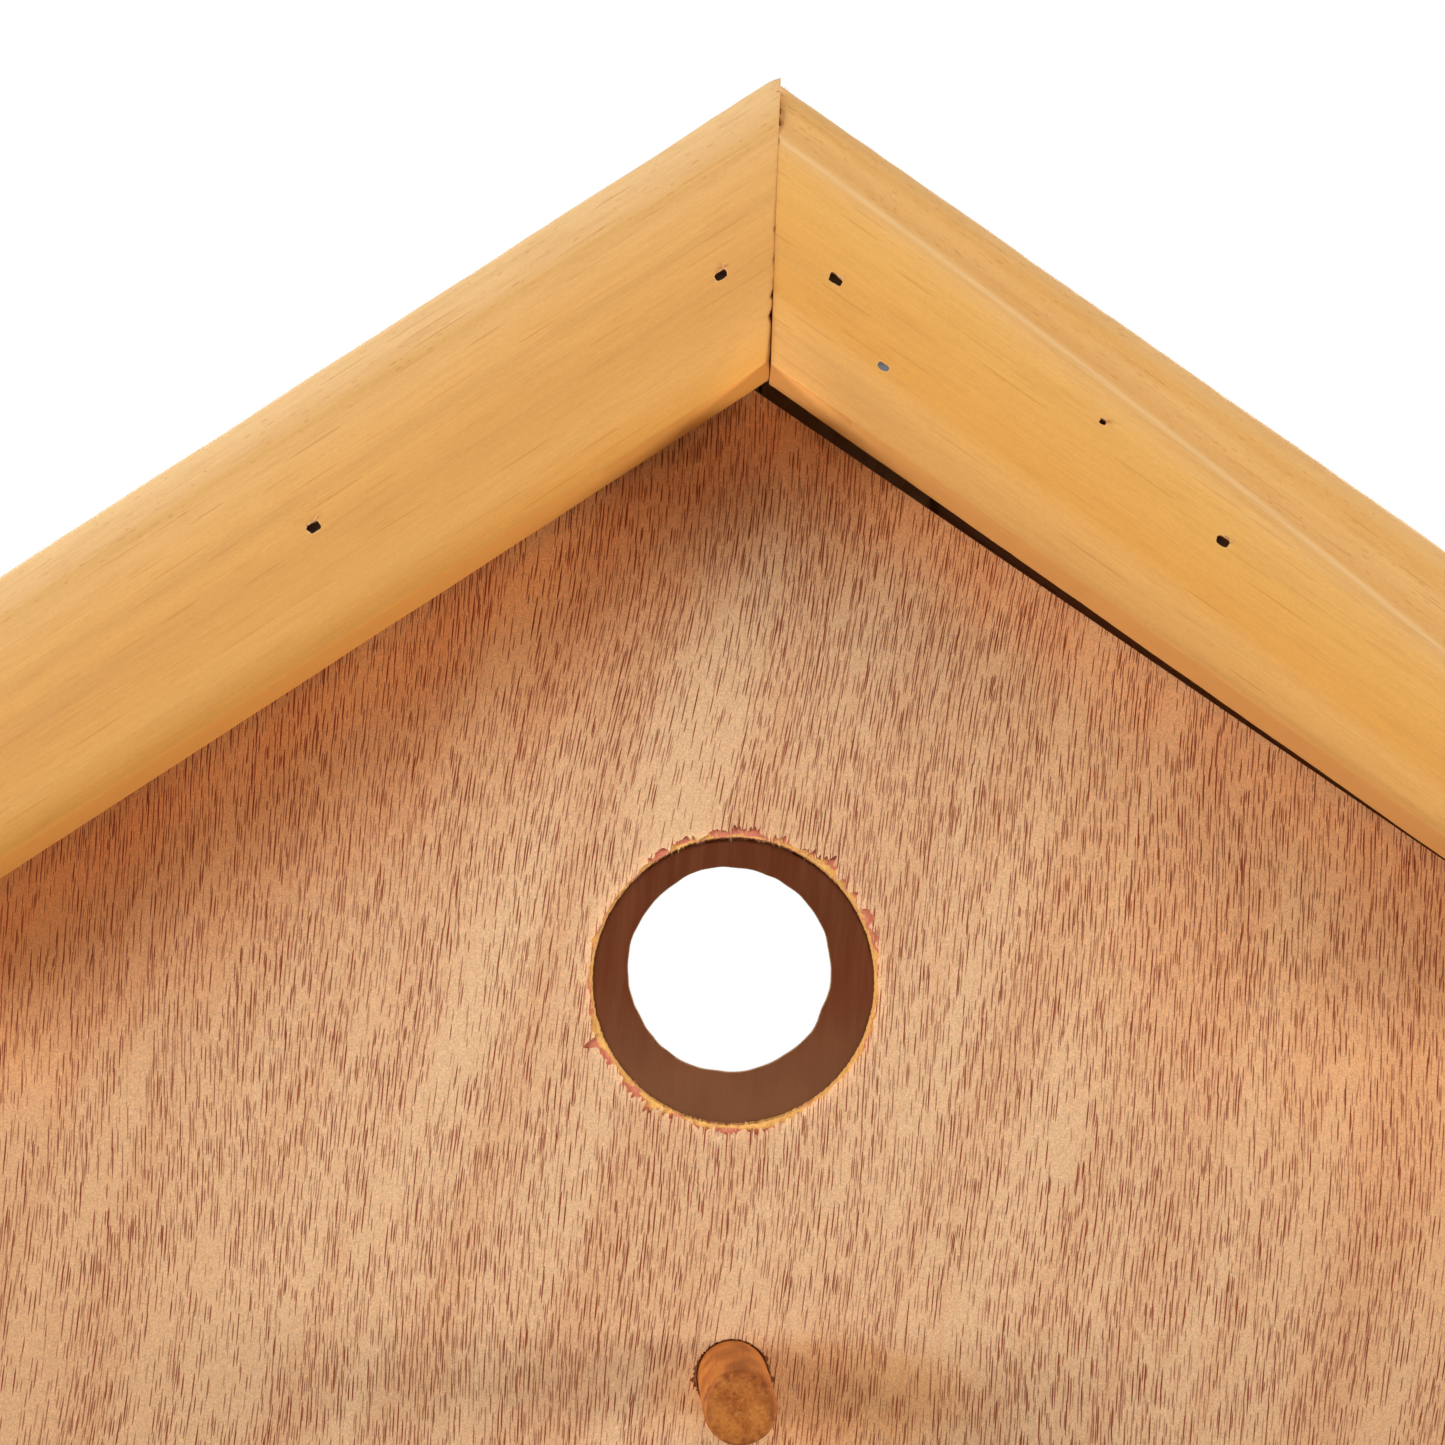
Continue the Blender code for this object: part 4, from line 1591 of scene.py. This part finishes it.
# Chips in the front trims' mitred ends: distance down the mitre, size.
MITRE_CHIPS: dict[Side, tuple[Point2, ...]] = {
    Side.LEFT: (
        (14.6 * MM, 0.20 * MM),
        (17.4 * MM, 0.24 * MM),
        (20.6 * MM, 0.50 * MM),
        (22.4 * MM, 0.70 * MM),
    ),
    Side.RIGHT: ((3.0 * MM, 0.42 * MM), (4.1 * MM, 0.48 * MM), (5.9 * MM, 0.40 * MM)),
}


@dataclass
class Birdhouse:
    """The whole house: sizes, finishes and the pieces in the order they are made."""

    slope: float = math.radians(34.33)
    entrance_radius: float = 16.0 * MM
    roof_thickness: float = 18.0 * MM
    roof_length: float = 143.0 * MM
    trim_width: float = 26.5 * MM
    cleat_width: float = 20.0 * MM
    wall_inner: float = 81.0 * MM
    wall_outer: float = 93.0 * MM
    board_pale: Colour = (0.76, 0.50, 0.25)
    board_deep: Colour = (0.62, 0.34, 0.13)

    def __post_init__(self) -> None:
        """Read the roof's ridge from the frame."""
        self.lines = RoofLines(self.slope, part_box("left_roof_board")[1].z)

    def panel_outline(self) -> list[Point2]:
        """Return the corners of a plywood front.

        Returns:
            The (x, z) corners.
        """
        low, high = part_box("front_panel")
        left_foot = 111.6 * MM
        right_foot = 108.67 * MM
        peak_x = -3.64 * MM
        return [(low.x, low.z), (high.x, low.z), (high.x, right_foot), (peak_x, high.z), (low.x, left_foot)]

    def entrance(self, end: End) -> DrilledHole:
        """Return the entrance, or the matching hole in the back.

        Args:
            end: The gable.

        Returns:
            The hole.
        """
        if end is End.BACK:
            return DrilledHole(
                ENTRANCE,
                self.entrance_radius,
                wobble=0.32 * MM,
                teeth=0.02 * MM,
                segments=360,
                seed=21,
                taller=0.2 * MM,
            )
        tears = (
            Tear(114, 12, 0.95 * MM),
            Tear(84, 18, 1.2 * MM),
            Tear(52, 11, 1.5 * MM),
            Tear(26, 14, 1.05 * MM),
            Tear(-20, 20, 0.35 * MM),
            Tear(-88, 24, 0.9 * MM),
            Tear(234, 13, 1.5 * MM),
            Tear(205, 10, 1.3 * MM),
            Tear(172, 20, 0.35 * MM),
        )
        return DrilledHole(ENTRANCE, self.entrance_radius, tears, seed=1, taller=0.22 * MM)

    def small_holes(self, end: End) -> list[DrilledHole]:
        """Return a front's hole for the pivot nail, and the perch's hole in the front one.

        Args:
            end: The gable.

        Returns:
            The holes, with the perch's last.
        """
        pivot = node_centre(f"{end.name.lower()}_pivot_nail")
        holes = [DrilledHole((pivot.x, pivot.z), 1.25 * MM, segments=24, teeth=0.0)]
        if end is End.FRONT:
            tears = (Tear(185, 22, 0.5 * MM), Tear(-8, 16, 0.45 * MM), Tear(30, 14, 0.3 * MM))
            holes.append(DrilledHole(PERCH_HOLE, 4.03 * MM, tears, 0.05 * MM, segments=240, seed=4))
        return holes

    def build_fronts(self) -> None:
        """Make both plywood fronts, and the fibres round the front one's holes."""
        peak = (0.0, self.lines.height(0.0, self.trim_width))
        for end in End:
            word = end.name.lower()
            front = PlywoodFront(
                end,
                self.panel_outline(),
                self.entrance(end),
                self.small_holes(end),
                Veneer(
                    f"{word}_face_veneer",
                    peak,
                    self.slope,
                    has_perch=end is End.FRONT,
                    seed=0.0 if end is End.FRONT else 0.4,
                ),
                InnerPly(f"{word}_inner_ply"),
            )
            front.build()
            LOG.info("built %s in three plies", front.name)
            if end is End.FRONT:
                self.build_fibres(front)

    def build_fibres(self, front: PlywoodFront) -> None:
        """Make the torn fibres round the entrance and round the perch's hole.

        Args:
            front: The front panel.
        """
        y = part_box(front.name)[0].y + front.veneer
        torn = TornFibre("torn_fibre", (0.74, 0.44, 0.15), (0.62, 0.24, 0.15))
        RimFibres("entrance_fibres", front.entrance, y, 620, 0.7 * MM, torn).build()
        torn = TornFibre("perch_fibre", (0.60, 0.33, 0.15), (0.50, 0.18, 0.10))
        RimFibres("perch_hole_fibres", front.small_holes[-1], y, 130, 0.5 * MM, torn, 9).build()

    def trim(self, side: Side, end: End, dents: list[tuple[float, float, float]]) -> BargeTrim:
        """Return one barge trim; the front's right one is planed to a bevel.

        Args:
            side: The half of the roof.
            end: The gable.
            dents: Dents in its planed bevel.

        Returns:
            The trim.
        """
        front = end is End.FRONT
        bevelled = front and side is Side.RIGHT
        finish = Softwood(
            f"{end.name.lower()}_{side.name.lower()}_trim_finish",
            STAIN_BANDS[side][0][1],
            STAINED_LATEWOOD[side],
            self.lines.turn(side),
            (0.0, 0.05 * end.value, 0.10),
            ring_strength=0.16,
            blotch_strength=0.12,
            bands=STAIN_BANDS[side],
        )
        return BargeTrim(
            side,
            end,
            self.lines,
            finish,
            top_round=(2.6 * MM, 2.2 * MM) if bevelled else (6.2 * MM, 2.6 * MM),
            foot_round=(1.3 * MM, 1.0 * MM) if bevelled else (4.2 * MM, 1.7 * MM),
            bevelled=bevelled,
            seed=3.0 * side.value + 10.0 * end.value,
            steps=320 if front else 120,
            face_points=84 if front else 24,
            blunt_tip=0.0 if bevelled else 0.26 * MM,
            pit_scale={"front_right_trim_brad_2": 0.55, STUB_BRAD: 0.8},
            flush=(STUB_BRAD,),
            dents=dents if bevelled else [],
            chips=MITRE_CHIPS[side] if front else (),
        )

    def build_trims(self) -> None:
        """Make the four barge trims."""
        chance = random.Random(12)
        dents = [
            (chance.uniform(10, 120) * MM, chance.uniform(0.8, 5.0) * MM, chance.uniform(0.22, 0.45) * MM)
            for _ in range(34)
        ]
        for end in End:
            for side in Side:
                trim = self.trim(side, end, dents)
                trim.build()
                LOG.info("built %s", trim.name)

    def board_finish(self, node: str, grain: Grain, pith: Sequence[float], ring: float) -> Softwood:
        """Return an unstained board's finish, with its pith and ring spacing."""
        return Softwood(f"{node}_finish", self.board_pale, self.board_deep, grain.value, pith, ring, 0.6)

    def build_roof_board(self, side: Side) -> None:
        """Make one roof board; its ridge end is cut plumb.

        Args:
            side: The half of the roof.
        """
        plumb = side.value * 0.12 * MM
        outline = [
            (plumb, self.lines.height(plumb, 0.0)),
            (plumb, self.lines.height(plumb, self.roof_thickness)),
            self.lines.point(side, self.roof_length, self.roof_thickness),
            self.lines.point(side, self.roof_length, 0.0),
        ]
        node = f"{side.name.lower()}_roof_board"
        finish = self.board_finish(node, Grain.ALONG_Y, (0.03 * side.value, 0, 0.02), 3.4 * MM)
        Board(node, outline, finish).build()

    def build_cleat(self, side: Side, end: End) -> None:
        """Make one cleat under the roof; its ends are cut plumb.

        Args:
            side: The half of the roof.
            end: The gable.
        """
        node = f"{end.name.lower()}_{side.name.lower()}_cleat"
        low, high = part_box(node)
        near, far = sorted((abs(low.x), abs(high.x)))
        top = self.roof_thickness + GAP
        bottom = top + self.cleat_width
        corners = ((near, top), (near, bottom), (far, bottom), (far, top))
        outline = [(side.value * x, self.lines.height(x, down)) for x, down in corners]
        # The cleats are darker than the other boards: grey-brown wood, darkened further as painted shade of
        # the gap under the trims.
        finish = Softwood(
            f"{node}_finish",
            (0.42, 0.27, 0.17),
            (0.26, 0.15, 0.09),
            self.lines.turn(side),
            (0, 0, 0.02),
            roughness=0.8,
        )
        Board(node, outline, finish).build()

    def build_side(self, node: str, side: Side) -> None:
        """Make a side board whose top edge follows the roof.

        Args:
            node: The board's node.
            side: The half of the house.
        """
        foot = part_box(node)[0].z
        inner, outer = self.wall_inner, self.wall_outer
        under = self.roof_thickness + GAP
        outline = [
            (side.value * inner, foot),
            (side.value * outer, foot),
            (side.value * outer, self.lines.height(outer, under)),
            (side.value * inner, self.lines.height(inner, under)),
        ]
        finish = self.board_finish(node, Grain.ALONG_Y, (0.05 * side.value, 0, 0.03), 3.0 * MM)
        Board(node, outline, finish).build()

    def build_boards(self) -> None:
        """Make the roof boards, cleats, sides, floor, stops and door."""
        for side in Side:
            self.build_roof_board(side)
            for end in End:
                self.build_cleat(side, end)
        self.build_side("left_wall", Side.LEFT)
        self.build_side("right_top_rail", Side.RIGHT)
        upright = {
            "floor_board": Grain.ALONG_X,
            "front_right_stop": Grain.ALONG_Z,
            "back_right_stop": Grain.ALONG_Z,
        }
        for node, grain in upright.items():
            finish = self.board_finish(node, grain, (0.05, 0.02, -0.03), 3.0 * MM)
            Board(node, upright_outline(node), finish).build()
        door = "swing_door"
        finish = self.board_finish(door, Grain.ALONG_Y, (0.12, 0, 0.05), 3.2 * MM)
        Board(door, upright_outline(door), finish, door).build()
        LOG.info("built the boards")


@dataclass
class Perch:
    """The dowel perch, with a rounded and slightly uneven tip."""

    centre: Point2 = PERCH_HOLE
    radius: float = 3.9 * MM
    reach: float = 21.0 * MM
    behind: float = 6.0 * MM
    rounding: float = 1.1 * MM
    lean: float = math.radians(2.0)
    droop: float = math.radians(0.6)
    steps: int = 40
    tip_rings: int = 6

    @property
    def length(self) -> float:
        """The dowel's whole length."""
        return self.reach + self.behind

    def dowel(self) -> Shape:
        """Return the dowel along +z, with a rounded tip that is divided into rings.

        Returns:
            The dowel.
        """
        shape = bmesh.new()
        bmesh.ops.create_circle(shape, cap_ends=True, segments=96, radius=self.radius)
        shape.faces.ensure_lookup_table()
        ring = shape.faces[0]
        for _ in range(self.steps):
            ring = bmesh.ops.extrude_discrete_faces(shape, faces=[ring])["faces"][0]
            bmesh.ops.translate(shape, verts=ring.verts, vec=(0.0, 0.0, self.length / self.steps))
        soften(shape, list(ring.edges), self.rounding)
        tip = max(shape.faces, key=lambda face: face.calc_center_median().z)
        for _ in range(self.tip_rings):
            bmesh.ops.inset_region(shape, faces=[tip], thickness=0.42 * MM, use_even_offset=True)
            tip = max(shape.faces, key=self.outermost)
        return shape

    @staticmethod
    def outermost(face: bmesh.types.BMFace) -> Point2:
        """Return a rank that is greatest for the face in the middle of the tip."""
        middle = face.calc_center_median()
        return round(middle.z, 7), -middle.xy.length

    def weather(self, shape: Shape) -> None:
        """Make the dowel uneven, and mark where its rim is dirty.

        Args:
            shape: The dowel, along +z.
        """
        dirt = shape.verts.layers.float.new("dirt")
        for vert in shape.verts:
            swell = 0.04 * MM * wave(math.atan2(vert.co.y, vert.co.x) * 1.2, vert.co.z / (6 * MM), 2.0)
            out = vert.co.xy.length
            if out > 0:
                vert.co.xy += vert.co.xy / out * swell
            if vert.co.z > self.length - 0.05 * MM:
                vert.co.z -= 0.06 * MM * (1 + wave(vert.co.x / MM, vert.co.y / MM, 4.0))
            x, y, z = vert.co / MM
            spots = max(0.0, 0.45 + 1.6 * wave(1.4 * x, 1.4 * y, z))
            near_tip = bump(vert.co.z - self.length, 1.1 * MM)
            vert[dirt] = spots * near_tip * bump(out - self.radius, 1.0 * MM)

    def build(self) -> bpy.types.Object:
        """Model and dress the perch.

        Returns:
            The perch's piece.
        """
        root = Vector((self.centre[0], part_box("front_panel")[0].y, self.centre[1]))
        axis = Vector((math.sin(self.lean), -1.0, -math.sin(self.droop))).normalized()
        shape = self.dowel()
        self.weather(shape)
        turn = axis.to_track_quat("Z", "Y").to_matrix().to_4x4()
        place = Matrix.Translation(root - axis * self.behind) @ turn
        bmesh.ops.transform(shape, matrix=place, verts=shape.verts)
        finish = StainedDowel(tip_y=(root + axis * self.reach).y)
        piece = add_piece("perch_dowel", shape, finish.material(), ["perch"])
        LOG.info("built the perch")
        return piece


def dress(node: str, finish: bpy.types.Material) -> None:
    """Give all slots of a model's node one finish."""
    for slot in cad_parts[node].material_slots:
        slot.material = finish


@dataclass
class Fittings:
    """The steel parts and the turn button."""

    steel: Metal = Metal("dull_steel")
    sunk_steel: Metal = Metal("brad_steel", (0.10, 0.06, 0.045), (0.04, 0.022, 0.016), 0.6)
    bare_steel: Metal = Metal("bare_brad_steel", (0.42, 0.43, 0.46), (0.25, 0.24, 0.24), 0.45)
    button: Softwood = Softwood(
        "turn_button_finish", (0.80, 0.45, 0.16), (0.70, 0.33, 0.10), Grain.ALONG_Y.value, (0, 0, 0.05)
    )

    def dress_steel(self) -> None:
        """Give the brads, nails, screw and eye their metal."""
        dark, bright = self.sunk_steel.material(), self.bare_steel.material()
        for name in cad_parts:
            if "brad" in name:
                dress(name, bright if name == STUB_BRAD else dark)
        steel = self.steel.material()
        for name in ("front_pivot_nail", "back_pivot_nail", "turn_button_screw", "hanging_eye"):
            dress(name, steel)
        LOG.info("dressed the steel parts")

    def dress_button(self) -> None:
        """Give the turn button its wood."""
        dress("turn_button", self.button.material())
        LOG.info("dressed the turn button")


# ---------------------------------------------------------------- studio


@dataclass(frozen=True)
class SoftBox:
    """A rectangular soft light: its direction in degrees, size in metres and power in watts."""

    name: str
    azimuth: float
    elevation: float
    size: Point2
    power: float

    def place(self, target: Vector, distance: float) -> Vector:
        """Return where the light stands, seen from its target.

        Args:
            target: The point that it lights.
            distance: Its distance from there.

        Returns:
            The place.
        """
        across, up = math.radians(self.azimuth), math.radians(self.elevation)
        way = (math.cos(up) * math.sin(across), -math.cos(up) * math.cos(across), math.sin(up))
        return target + distance * Vector(way)


SOFT_BOXES = (
    SoftBox("left_box", -67, 3, (0.50, 0.75), 24.5),
    SoftBox("right_box", 74, -1, (0.40, 0.42), 20.0),
    SoftBox("top_front_box", -3, 46, (1.20, 0.36), 4.3),
    SoftBox("top_box", 20, 68, (0.40, 0.40), 3.4),
    SoftBox("rear_left_box", -145, 22, (0.70, 0.70), 9.0),
    SoftBox("rear_right_box", 147, 22, (0.70, 0.70), 9.0),
)


@dataclass
class Studio:
    """Camera, lights, floor and plain white surroundings."""

    camera_place: Vector = field(default_factory=lambda: Vector((-4.2 * MM, -398.15 * MM, 108.55 * MM)))
    light_target: Vector = field(default_factory=lambda: Vector((0.0, -0.07, 0.11)))
    pitch: float = math.radians(4.264)
    roll: float = math.radians(1.09)
    lens: float = 73.17
    light_distance: float = 1.4
    entrance_beam: Point2 = (16.9 * MM, 2.3)
    mitre_beam: Point2 = (9.5 * MM, 1.0)

    def add_camera(self) -> None:
        """Place the camera in front of the entrance, looking a little up."""
        data = bpy.data.cameras.new("camera")
        data.lens = self.lens
        data.sensor_width = 36.0
        data.clip_start = 0.01
        data.clip_end = 50.0
        camera = bpy.data.objects.new("camera", data)
        aim = Matrix.Rotation(math.pi / 2 + self.pitch, 4, "X") @ Matrix.Rotation(self.roll, 4, "Z")
        camera.matrix_world = Matrix.Translation(self.camera_place) @ aim
        bpy.context.scene.collection.objects.link(camera)
        bpy.context.scene.camera = camera

    def aim_light(self, data: bpy.types.Light, place: Vector, target: Vector) -> None:
        """Stand a light at a place and turn it to its target.

        Args:
            data: The light's data.
            place: Where it stands.
            target: The point it is aimed at.
        """
        light = bpy.data.objects.new(data.name, data)
        aim = (target - place).to_track_quat("-Z", "Y").to_matrix().to_4x4()
        light.matrix_world = Matrix.Translation(place) @ aim
        bpy.context.scene.collection.objects.link(light)

    def add_soft_boxes(self) -> None:
        """Add the soft boxes: the strongest on the left, then the right, fills above and behind."""
        for box in SOFT_BOXES:
            data = bpy.data.lights.new(box.name, "AREA")
            data.shape = "RECTANGLE"
            data.size, data.size_y = box.size
            data.energy = box.power
            place = box.place(self.light_target, self.light_distance)
            self.aim_light(data, place, self.light_target)

    def add_beam(self, name: str, place: Vector, target: Vector, beam: Point2, blend: float) -> None:
        """Add one narrow beam.

        Args:
            name: The light's name.
            place: Where it stands.
            target: The point it is aimed at.
            beam: The beam's radius at its target, and its power.
            blend: How much of the beam's width its soft edge takes.
        """
        radius, power = beam
        data = bpy.data.lights.new(name, "SPOT")
        data.energy = power
        data.shadow_soft_size = 1.5 * MM
        data.spot_size = 2 * math.atan(radius / (target - place).length)
        data.spot_blend = blend
        self.aim_light(data, place, target)

    def add_beams(self) -> None:
        """Light the chamber's far wall through the entrance, and the mitre's foot from below."""
        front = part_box("front_panel")[0].y
        entrance = Vector((ENTRANCE[0], front, ENTRANCE[1]))
        place = self.camera_place + Vector((0.0, 0.0, 0.4 * MM))
        self.add_beam("entrance_snoot", place, entrance, self.entrance_beam, 0.1)
        mitre_foot = Vector((0.3 * MM, front - 9.0 * MM, 169.5 * MM))
        floor_place = Vector((0.0, front - 85.0 * MM, 12.0 * MM))
        self.add_beam("mitre_snoot", floor_place, mitre_foot, self.mitre_beam, 1.0)

    def add_surroundings(self) -> None:
        """Make the world plain white, and dimmer for the light that it gives."""
        world = bpy.data.worlds.new("studio_white")
        world.use_nodes = True
        tree = world.node_tree
        glow = tree.nodes["Background"]
        glow.inputs["Color"].default_value = (1.0, 1.0, 1.0, 1.0)
        glow.inputs["Strength"].default_value = 0.05
        seen = tree.nodes.new("ShaderNodeBackground")
        seen.inputs["Color"].default_value = (1.0, 1.0, 1.0, 1.0)
        path = tree.nodes.new("ShaderNodeLightPath")
        blend = tree.nodes.new("ShaderNodeMixShader")
        tree.links.new(path.outputs["Is Camera Ray"], blend.inputs[0])
        tree.links.new(glow.outputs[0], blend.inputs[1])
        tree.links.new(seen.outputs[0], blend.inputs[2])
        tree.links.new(blend.outputs[0], tree.nodes["World Output"].inputs["Surface"])
        bpy.context.scene.world = world
        bpy.context.scene.view_settings.view_transform = "Standard"

    def add_floor(self) -> None:
        """Lay a round pale floor under the house."""
        shape = bmesh.new()
        bmesh.ops.create_circle(shape, cap_ends=True, segments=96, radius=0.8)
        bmesh.ops.translate(shape, verts=shape.verts, vec=(0.0, 0.0, -0.2 * MM))
        mesh = bpy.data.meshes.new("studio_floor")
        shape.to_mesh(mesh)
        shape.free()
        mesh.materials.append(StudioFloor().material())
        floor = bpy.data.objects.new("studio_floor", mesh)
        bpy.context.scene.collection.objects.link(floor)

    def build(self) -> None:
        """Set the studio up."""
        self.add_camera()
        self.add_soft_boxes()
        self.add_beams()
        self.add_surroundings()
        self.add_floor()


def main() -> None:
    """Build the birdhouse's look around the frame."""
    logging.basicConfig(level=logging.INFO, format="%(message)s")
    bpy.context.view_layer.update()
    Studio().build()
    house = Birdhouse()
    house.build_fronts()
    house.build_trims()
    house.build_boards()
    Perch().build()
    fittings = Fittings()
    fittings.dress_steel()
    fittings.dress_button()


if __name__ == "__main__":
    main()
